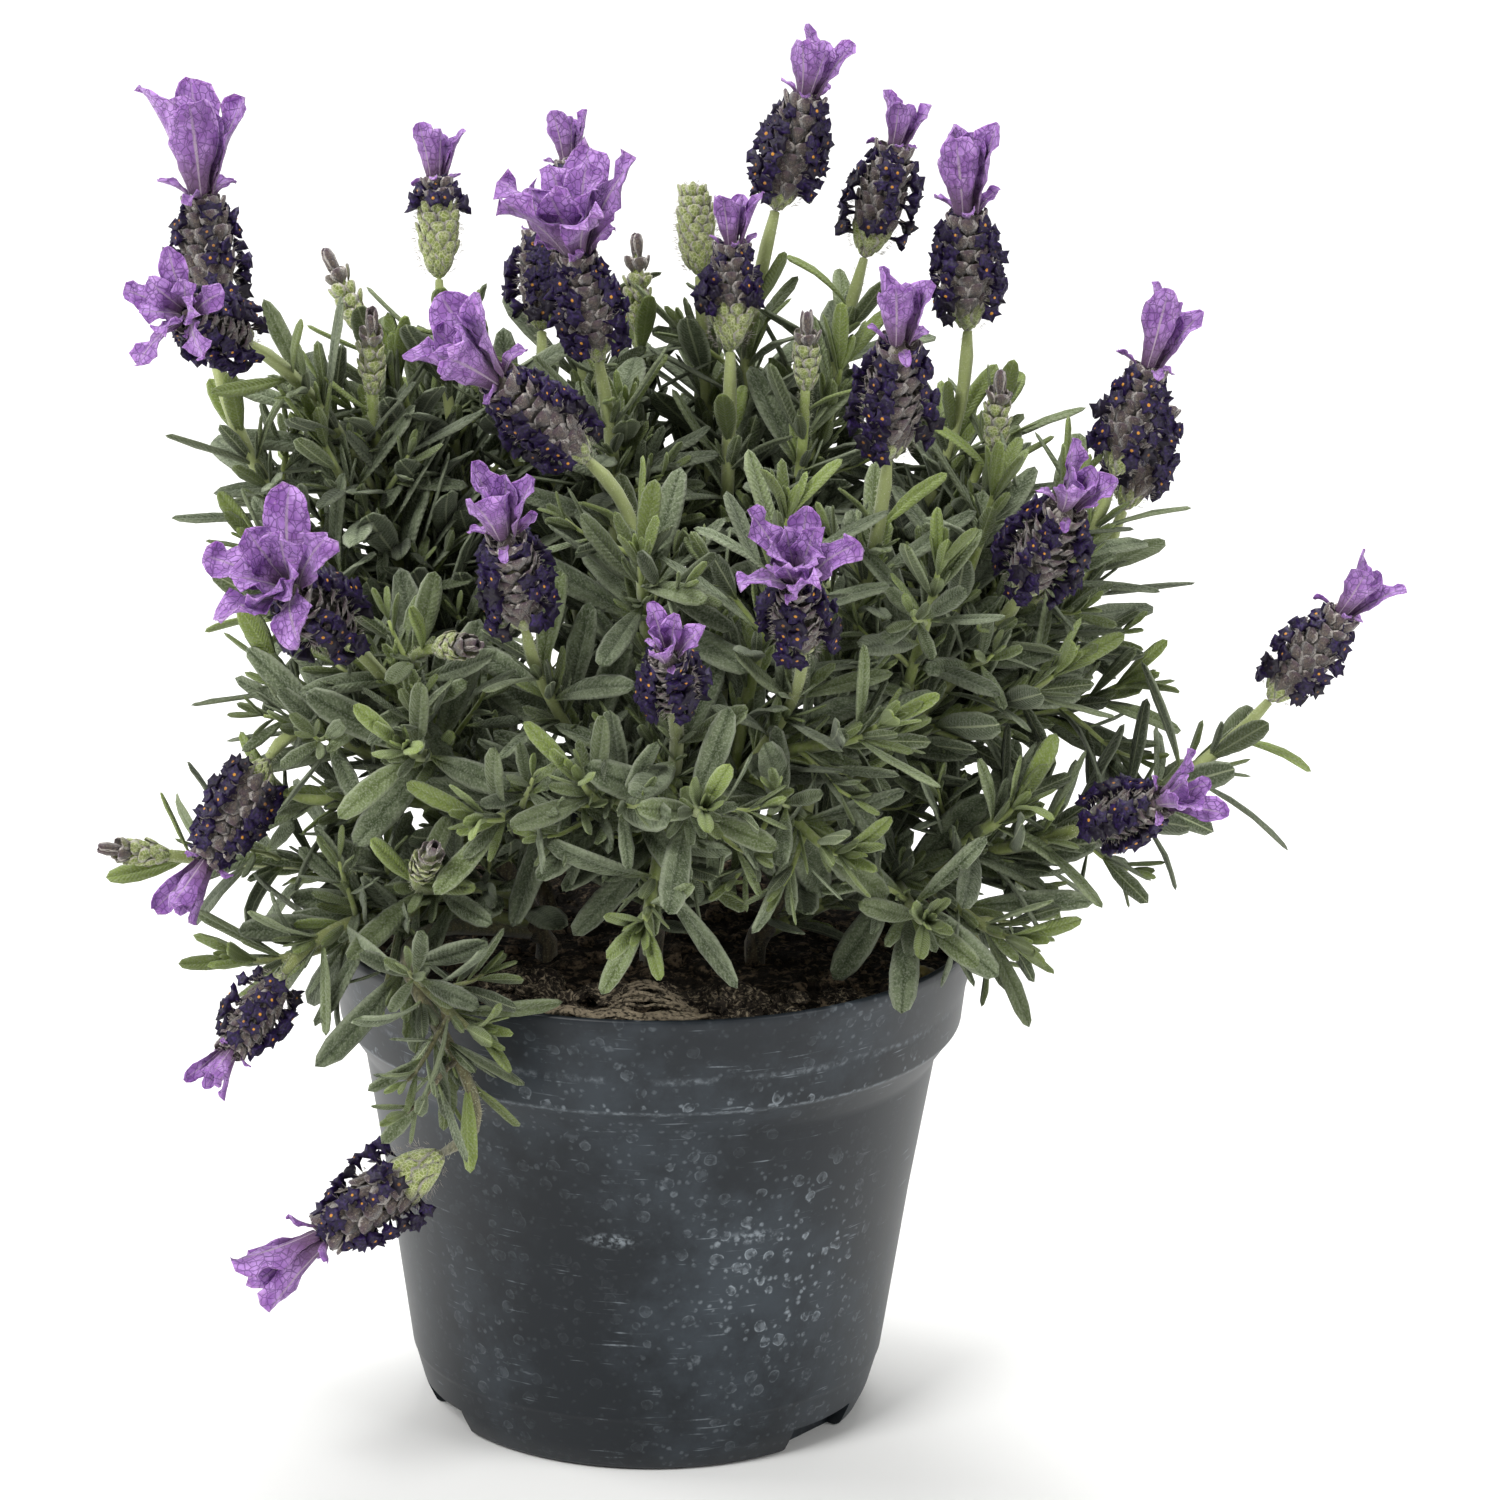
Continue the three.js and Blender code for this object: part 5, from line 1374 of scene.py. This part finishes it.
class LAVENDER_OT_leaves(bpy.types.Operator):
    """Builds the felted leaves and the small leaves in their axils"""
    bl_idname = "lavender.leaves"
    bl_label = "Leaves"

    def execute(self, context):
        shoots, leaves, sprouts = plant()
        for branch, batch in each_branch("leaves", leaf_material(), "stem"):
            own = [leaf for leaf in leaves if leaf["shoot"]["branch"] == branch["name"]]
            blade_surfaces(batch, stacked(own), LEAF_STATIONS, LEAF_SECTION, ruffle=0.01)
            small = [leaf for sprout in sprouts if sprout["branch"] == branch["name"]
                     for leaf in self.sprout_leaves(sprout)]
            small += [leaf for shoot in shoots if shoot["branch"] == branch["name"]
                      for leaf in self.tip_leaves(shoot)]
            for leaf in own:
                small += self.axil_leaves(leaf)
            blade_surfaces(batch, stacked(small), SMALL_STATIONS, SMALL_SECTION, ruffle=0.01)
        return {"FINISHED"}

    @staticmethod
    def axil_leaves(leaf):
        """The small leaves of the short shoot in the axil of a leaf, larger further down."""
        small = []
        for k in (-1, 1, 2):
            seed = leaf["seed"] + 3000 * (k + 2)
            if leaf["pair"] == 0 or scatter(seed, 11) < 0.15 + 0.3 * (k == 2):
                continue
            turned = moved(leaf, 0, (36 * k if k < 2 else 0) + 20 * (scatter(seed, 12) - 0.5))
            size = (8 + 8 * scatter(seed, 13)) * (0.8 + 0.35 * leaf["grown"])
            turned.update(length=size, width=size * 0.25, thickness=0.85,
                          angle=math.radians(14 + 24 * scatter(seed, 14)),
                          curl=math.radians(34 * (scatter(seed, 15) - 0.3)),
                          grown=0.3 + 0.5 * scatter(seed, 16), seed=seed)
            small.append(turned)
        return small

    @staticmethod
    def tip_leaves(shoot):
        """The youngest leaves round the tip of a leafy shoot, narrow and nearly upright."""
        if "at" in shoot:
            return []
        aim, tip = shoot["aim"], shoot["curve"][3]
        first = unit(np.cross(aim, (0.31, 0.2, 0.93)))
        second = np.cross(aim, first)
        small = []
        for k in range(6):
            seed = shoot["index"] * 40 + 9000 + k
            turn = shoot["turn"] + k * 1.57 + 0.4 * scatter(seed, 1)
            size = 8 + 2.2 * k / 1.4 + 3 * scatter(seed, 2)
            small.append({
                "root": tip - aim * (1 + 0.8 * (k // 2)), "axis": aim,
                "out": first * math.cos(turn) + second * math.sin(turn), "length": size,
                "width": size * 0.24, "thickness": 0.9, "angle": math.radians(6 + 3.4 * k),
                "curl": math.radians(16 * (scatter(seed, 3) - 0.4)), "roll": 0.0,
                "grown": 0.05 + 0.07 * k, "seed": seed})
        return small

    @staticmethod
    def sprout_leaves(sprout):
        """Four pairs of small leaves on a short side shoot, a quarter turn apart."""
        curve, small = sprout["curve"], []
        for pair in range(4):
            place = 1 - 0.2 * pair
            tangent = bezier_tangent(curve, place)
            first, second = sideways(curve, tangent)
            for side in (0, 1):
                seed = sprout["index"] * 10 + pair * 2 + side
                turn = sprout["turn"] + (pair % 2 + 2 * side) * math.pi / 2
                size = (9 + 3.4 * pair) * (0.85 + 0.3 * scatter(seed, 2))
                leaf = {"root": bezier(curve, place), "axis": tangent,
                        "out": first * math.cos(turn) + second * math.sin(turn), "length": size,
                        "width": size * 0.26, "thickness": 0.95,
                        "angle": math.radians(16 + 13 * pair),
                        "curl": math.radians(30 * (scatter(seed, 3) - 0.3)), "roll": 0.0,
                        "grown": 0.35 + 0.17 * pair, "seed": seed}
                if not in_pot(blade_middle(stacked([leaf]), PROBES[None])[0]).any():
                    small.append(leaf)
        return small


def add_scales(batch, head, rows, columns, size, ripe_from):
    """Overlapping bracts on a head: rows of blades round its core, each row half a step on, and the
    core itself. The first tone rises from 0 to 1 where the head turns ripe."""
    aim = head["turn"][:, 2]
    t = np.linspace(0.01, 0.985, 16)
    core = head["at"] + aim * (HEAD_GAP + (head["length"] - 2 * HEAD_GAP) * t)[:, None]
    tube_along(batch, core, 0.44 * head["width"] / 2 * head_outline(t), 16,
               (0.5 * (ripe_from < 0.3), 0.5, 0, 0), rough=0.05, seed=head["number"])
    row, column = (a.ravel() for a in np.meshgrid(
        np.arange(rows), np.arange(columns), indexing="ij"))
    seed = head["number"] * 100.0 + row * 8 + column
    height = 0.015 + 0.9 * (row / rows) ** 1.3 + 0.02 * (scatter(seed, 1) - 0.5)
    angle = (column + 0.5 * (row % 2 == 0) + 0.15 * (scatter(seed, 2) - 0.5)) / columns * 2 * np.pi
    root, out = on_head(head, height, angle, 0.5)
    count = len(root)
    blades = {"root": root, "axis": np.broadcast_to(aim, (count, 3)), "out": out,
              "length": size * (0.9 + 0.25 * scatter(seed, 3)),
              "width": np.full(count, size * 0.98), "thickness": np.full(count, 0.8),
              "angle": np.radians(24 + 12 * scatter(seed, 4)),
              "curl": np.radians(-34 + 20 * scatter(seed, 5)),
              "roll": np.radians(14 * (scatter(seed, 6) - 0.5)),
              "grown": np.clip((height - max(ripe_from, 0.1)) / 0.16 + 0.5, 0, 1), "seed": seed}
    blade_surfaces(batch, blades, SMALL_STATIONS, SMALL_SECTION, ruffle=0.03, cup=0.35)


class LAVENDER_OT_heads(bpy.types.Operator):
    """Builds the woolly bracts of the flower heads"""
    bl_idname = "lavender.heads"
    bl_label = "Flower heads"

    def execute(self, context):
        for branch, batch in each_branch("heads", scale_material(), "head"):
            for head in heads_of(branch["name"]):
                # A bract is 4.8 mm long on a head that is 17 mm wide.
                add_scales(batch, head, rows=10, columns=8, size=4.8 * head["width"] / 17,
                           ripe_from=head["ripe"])
        return {"FINISHED"}


class LAVENDER_OT_buds(bpy.types.Operator):
    """Builds the unopened green heads"""
    bl_idname = "lavender.buds"
    bl_label = "Buds"

    def execute(self, context):
        shoots, _, _ = plant()
        for branch, batch in each_branch("buds", scale_material(), "stem"):
            for shoot in shoots:
                if shoot["branch"] != branch["name"] or "bud" not in shoot:
                    continue
                # A bud's foot reaches 2 mm down its stalk.
                at, top = np.array(shoot["at"], float), np.array(shoot["top"], float)
                head = {"at": at - shoot["aim"] * 2, "length": np.linalg.norm(top - at) + 2,
                        "width": BUD_WIDTH, "turn": standing(shoot["aim"]),
                        "number": 200 + shoot["index"]}
                add_scales(batch, head, rows=6, columns=5, size=4.4, ripe_from=0.72)
                turn = np.arange(4) * np.pi / 2 + shoot["turn"]
                local = joined(np.cos(turn), np.sin(turn), 0 * turn) @ head["turn"].T
                seed = head["number"] * 10.0 + np.arange(4)
                tuft = {"root": top - shoot["aim"] * 3 + local, "out": local,
                        "axis": np.broadcast_to(shoot["aim"], (4, 3)),
                        "length": 6 + 2 * scatter(seed, 1), "width": np.full(4, 3.0),
                        "thickness": np.full(4, 0.8), "angle": np.radians(np.full(4, 12.0)),
                        "curl": np.radians(np.full(4, -24.0)), "roll": np.zeros(4),
                        "grown": np.ones(4), "seed": seed}
                blade_surfaces(batch, tuft, SMALL_STATIONS, SMALL_SECTION, cup=0.3)
        return {"FINISHED"}


class LAVENDER_OT_florets(bpy.types.Operator):
    """Builds the dark florets in upright ranks on the flower heads"""
    bl_idname = "lavender.florets"
    bl_label = "Florets"

    # Rings of a floret from its anthers out over the lobes and back down its tube: radius and
    # height over its own radius, how much of the lobed outline the ring takes, and its place along.
    PROFILE = np.array([(0.1, 0.12, 0, 0.06), (0.4, 0.0, 0.3, 0.3), (1.0, 0.16, 1, 0.6),
                        (0.86, -0.2, 1, 0.75), (0.26, -0.75, 0, 0.95)])

    def execute(self, context):
        settings = context.scene.lavender_flowers
        for branch, batch in each_branch("florets", floret_material(), "head"):
            for head in heads_of(branch["name"]):
                if head["ripe"] < 1:
                    self.add_florets(batch, head, settings.floret / MM / 2)
        return {"FINISHED"}

    def add_florets(self, batch, head, size):
        """Two florets side by side at each step of four ranks, a tenth of them left out. Steps are
        3.9 mm apart. The outline of a floret's five lobes is 0.58 + 0.42 |cos 2.5 a|, and its edge
        rises and falls at random."""
        low = head["ripe"] + 0.06
        rows = max(2, round(head["length"] * (0.96 - low) / 3.9))
        row, rank, twin = (a.ravel() for a in np.meshgrid(
            np.arange(rows), np.arange(4), np.arange(2), indexing="ij"))
        seed = head["number"] * 1000.0 + row * 20 + rank * 2 + twin
        keep = scatter(seed, 21) > 0.1
        row, rank, twin, seed = row[keep], rank[keep], twin[keep], seed[keep]
        height = low + (0.95 - low) * (row + 0.5 * (rank % 2)
                                       + 0.35 * (scatter(seed, 22) - 0.5)) / rows
        height = np.clip(height, 0.05, 0.94)
        angle = (rank + 0.27 * (twin - 0.5) + 0.1 * (scatter(seed, 23) - 0.5)) * np.pi / 2
        angle = angle + math.radians(head["ranks"])
        centre, out = on_head(head, height, angle, 0.93 + 0.16 * scatter(seed, 24))
        aim = head["turn"][:, 2]
        normal = unit(out + aim * (0.05 + 0.6 * (height - 0.4))[:, None]
                      + 0.7 * (np.stack([scatter(seed, k) for k in (25, 26, 27)], -1) - 0.5))
        first = unit(np.cross(aim, normal))
        second = np.cross(normal, first)
        spin = 2 * np.pi * scatter(seed, 28)[:, None, None]
        turn = full_turn(10)
        reach, level, lobed, along = (column[None, :, None] for column in self.PROFILE.T)
        outline = 1 - lobed * 0.42 * (1 - np.abs(np.cos(2.5 * turn)))
        crinkle = lobed * 0.5 * (scatter(seed[:, None, None] + turn, 29) - 0.5)
        width = size * (0.8 + 0.4 * scatter(seed, 30))[:, None, None]
        around = -(turn + spin)
        x = width * reach * outline * np.cos(around)
        y = width * reach * outline * np.sin(around)
        z = width * (level + crinkle)
        rings = (centre[:, None, None] + first[:, None, None] * x[..., None]
                 + second[:, None, None] * y[..., None] + normal[:, None, None] * z[..., None])
        places = joined(turn / np.pi - 1, along, 0.0)
        # Low florets opened first, so more of them have dried.
        dried = np.clip(scatter(seed, 31) * 0.75 + 0.45 * (0.55 - height), 0, 1)
        tones = joined(height, dried, scatter(seed, 32), 0 * seed)
        batch.add(rings, centre + normal * width[:, 0] * 0.2, centre - normal * width[:, 0] * 2.0,
                  places, tones)


class LAVENDER_OT_comas(bpy.types.Operator):
    """Builds the tufts of violet bracts"""
    bl_idname = "lavender.comas"
    bl_label = "Violet bracts"

    def execute(self, context):
        for branch, batch in each_branch("comas", coma_material(), "coma"):
            for head in heads_of(branch["name"]):
                if head["bracts"]:
                    # Bracts that open wide are flatter and more ruffled.
                    spread = head["bracts"][2] > WIDE_OPEN
                    blade_surfaces(batch, stacked(self.bracts_of(head)), BRACT_STATIONS,
                                   BRACT_SECTION, bract_width, ruffle=0.13 if spread else 0.07,
                                   torn=0.16, cup=0.15 if spread else 0.5)
        return {"FINISHED"}

    @staticmethod
    def bracts_of(head):
        """Outer bracts spread evenly round the tip of a head, shorter upright ones inside them, and
        a few small ones that spread from their foot."""
        size, count, opening = head["bracts"]
        number, turned = head["number"], head["turn"]
        # Each ring: how many, the shift between them, their share of the length and of the lean,
        # their width over the size of the tuft, and the radius and height of their feet.
        rings = [(count, 0, 1.0, 1.0, 0.44, 2.4, -2.2),
                 (3 if size < 16 else count, 0.5, 0.8, 0.5, 0.42, 1.4, -1.2),
                 (3, 0.25, 0.36, 0, 0.16, 2.8, -3.0)]
        blades = []
        for ring, (many, shift, share, lean_share, wide, foot, level) in enumerate(rings):
            for i in range(many):
                seed = number * 50 + i + 20 * ring
                turn = (i + shift + 0.25 * (scatter(number, i) - 0.5)) / many * 2 * math.pi
                lean = math.radians(opening) * (0.8 + 0.4 * scatter(number, i + 10)) * lean_share
                if ring == 2:
                    lean = math.radians(55 + 40 * scatter(seed, 1))
                out = np.array((math.cos(turn), math.sin(turn), 0))
                root = out * foot + (0, 0, level)
                blades.append({
                    "root": head["top"] + turned @ root, "axis": turned[:, 2],
                    "out": turned @ out,
                    "length": (size + 3.5 - 0.05 * opening) * share
                    * (0.84 + 0.22 * scatter(number, i + 20)),
                    "width": size * wide, "thickness": 0.5, "angle": 0.55 * lean,
                    "curl": lean * (0.5 + 0.6 * scatter(seed, 3)),
                    "roll": math.radians(12 + 14 * scatter(seed, 2)),
                    "grown": 1.0, "seed": seed})
        return blades


class LAVENDER_OT_wool(bpy.types.Operator):
    """Builds the hairs of the flower heads and their stalks"""
    bl_idname = "lavender.wool"
    bl_label = "Wool"

    HEAD_HAIRS = 620
    STALK_HAIRS = 200

    def execute(self, context):
        shoots, _, _ = plant()
        for branch, batch in each_branch("wool", wool_material(), "head"):
            for head in heads_of(branch["name"]):
                seed = head["number"] * 2000.0 + np.arange(self.HEAD_HAIRS)
                height = 0.04 + 0.94 * scatter(seed, 1)
                root, out = on_head(head, height, 2 * np.pi * scatter(seed, 2), 0.68)
                self.add_hairs(batch, root, out, head["turn"][:, 2], seed, longest=2.6,
                               green=0.0)
            for shoot in shoots:
                if shoot["branch"] != branch["name"] or "at" not in shoot:
                    continue
                seed = shoot["index"] * 3000.0 + np.arange(self.STALK_HAIRS)
                reach = np.linalg.norm(shoot["curve"][3] - shoot["curve"][0])
                t = 1 - scatter(seed, 3) * min(0.9, (shoot["bare"] + 8) / reach)
                tangent = bezier_tangent(shoot["curve"], t)
                first, second = sideways(shoot["curve"], tangent)
                turn = 2 * np.pi * scatter(seed, 4)[:, None]
                out = first * np.cos(turn) + second * np.sin(turn)
                root = bezier(shoot["curve"], t) + out * 1.4
                self.add_hairs(batch, root, out, tangent, seed, longest=1.3, green=1.0)
        return {"FINISHED"}

    @staticmethod
    def add_hairs(batch, root, out, along, seed, longest, green):
        """Hairs as thin three-sided spindles: each leaves its root outwards, at random aslant. They
        are drawn 0.12 mm thick so that they show."""
        stray = np.stack([scatter(seed, k) for k in (5, 6, 7)], -1) - 0.5
        way = unit(out + 0.25 * along + 1.3 * stray)
        size = longest * (0.45 + 0.55 * scatter(seed, 8))[:, None]
        first = unit(np.cross(way, (0.3, 0.5, 0.8)))
        second = np.cross(way, first)
        angle = full_turn(3)[:, None]
        middle = (root + way * size * 0.4)[:, None]
        rings = middle + 0.06 * (first[:, None] * np.cos(angle) + second[:, None] * np.sin(angle))
        tones = joined(np.full(len(seed), green), scatter(seed, 9), 0 * seed, 0 * seed)
        batch.add(rings[:, None], root, root + way * size, np.zeros(3), tones)


class LAVENDER_OT_stage(bpy.types.Operator):
    """Sets the camera, the floor and the studio light"""
    bl_idname = "lavender.stage"
    bl_label = "Stage"

    def execute(self, context):
        settings = context.scene.lavender_stage
        scene = context.scene
        mesh = bpy.data.meshes.new("floor")
        mesh.from_pydata([(-9, -9, 0), (9, -9, 0), (9, 9, 0), (-9, 9, 0)], [], [(0, 1, 2, 3)])
        floor = bpy.data.objects.new("floor", mesh)
        floor.location.z = -0.0002
        scene.collection.objects.link(floor)
        # Matt paper, laid flat: even, with the faintest cloud 300 mm wide.
        paper, add = new_material("Matt_studio_paper")
        coords = add("TexCoord", {}, "Object")
        cloud = add("TexNoise", {"Vector": coords, "Scale": 1 / 0.3})
        cloud = add("MapRange", [cloud, 0.3, 0.7, 0.0, 0.2])
        colour = add("Mix", {0: cloud, 6: settings.floor, 7: linear("#f2f2f0")}, **RGBA)
        surface = add("BsdfPrincipled", {"Base Color": colour, "Roughness": 0.9})
        add("OutputMaterial", [surface], None)
        mesh.materials.append(paper)

        # Each light: its place and width in metres and its power in watts.
        lights = [("key_light", (-1.3, -1.9, 2.3), 1.1, 66),
                  ("fill_light", (1.9, -1.2, 1.2), 1.4, 24),
                  ("left_light", (-2.0, 0.4, 0.9), 1.3, 24),
                  ("top_light", (0.2, 0.8, 2.6), 1.4, 66)]
        for name, place, size, power in lights:
            data = bpy.data.lights.new(name, "AREA")
            data.shape, data.size, data.energy = "SQUARE", size, power
            light = bpy.data.objects.new(name, data)
            light.location = place
            light.rotation_euler = (Vector((0, 0, 0.18)) - light.location).to_track_quat(
                "-Z", "Y").to_euler()
            scene.collection.objects.link(light)
        world = bpy.data.worlds.new("Studio_air")
        scene.world = world
        world.use_nodes = True
        sky = world.node_tree.nodes["Background"].inputs
        sky["Color"].default_value = linear("#ffffff")
        sky["Strength"].default_value = 0.26
        scene.view_settings.view_transform = "Standard"

        camera = bpy.data.cameras.new("camera")
        camera.sensor_width = 36
        camera.lens = settings.lens
        camera.clip_start, camera.clip_end = 0.1, 50
        view = bpy.data.objects.new("camera", camera)
        # The camera stands straight in front of the pot and looks a little to the right of it.
        middle = Vector((0, 0, 0.1754))
        back = Vector((0, -math.cos(settings.pitch), math.sin(settings.pitch)))
        eye = middle + back * settings.distance
        turn = (middle + Vector((0.0244, 0, 0)) - eye).to_track_quat("-Z", "Y").to_matrix()
        turn = turn @ Matrix.Rotation(settings.roll, 3, "Z")
        view.matrix_world = Matrix.Translation(eye) @ turn.to_4x4()
        scene.collection.objects.link(view)
        scene.camera = view
        return {"FINISHED"}


class LAVENDER_PT_panel(bpy.types.Panel):
    """Lists the steps that build the lavender, with their sizes and colours"""
    bl_idname = "LAVENDER_PT_panel"
    bl_label = "Lavender"
    bl_space_type = "VIEW_3D"
    bl_region_type = "UI"
    bl_category = "Lavender"

    def draw(self, context):
        for key, group in GROUPS.items():
            box = self.layout.box()
            for name in group.__annotations__:
                box.prop(getattr(context.scene, key), name)
        for operator in OPERATORS:
            self.layout.operator(operator.bl_idname)


GROUPS = {
    "lavender_pot": PotSettings,
    "lavender_soil": SoilSettings,
    "lavender_leaves": LeafSettings,
    "lavender_flowers": FlowerSettings,
    "lavender_stage": StageSettings,
}
OPERATORS = (
    LAVENDER_OT_pot, LAVENDER_OT_soil, LAVENDER_OT_bark, LAVENDER_OT_beads, LAVENDER_OT_stems,
    LAVENDER_OT_leaves, LAVENDER_OT_buds, LAVENDER_OT_heads, LAVENDER_OT_florets,
    LAVENDER_OT_comas, LAVENDER_OT_wool, LAVENDER_OT_stage,
)


def register():
    """Registers the settings, the operators and the panel."""
    for key, group in GROUPS.items():
        bpy.utils.register_class(group)
        setattr(bpy.types.Scene, key, PointerProperty(type=group))
    for operator in OPERATORS:
        bpy.utils.register_class(operator)
    bpy.utils.register_class(LAVENDER_PT_panel)


def unregister():
    """Takes them out again."""
    bpy.utils.unregister_class(LAVENDER_PT_panel)
    for operator in OPERATORS:
        bpy.utils.unregister_class(operator)
    for key, group in GROUPS.items():
        delattr(bpy.types.Scene, key)
        bpy.utils.unregister_class(group)


def main():
    """Builds every piece and the stage."""
    register()
    for operator in OPERATORS:
        family, name = operator.bl_idname.split(".")
        getattr(getattr(bpy.ops, family), name)()
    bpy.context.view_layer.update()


if __name__ == "__main__":
    main()
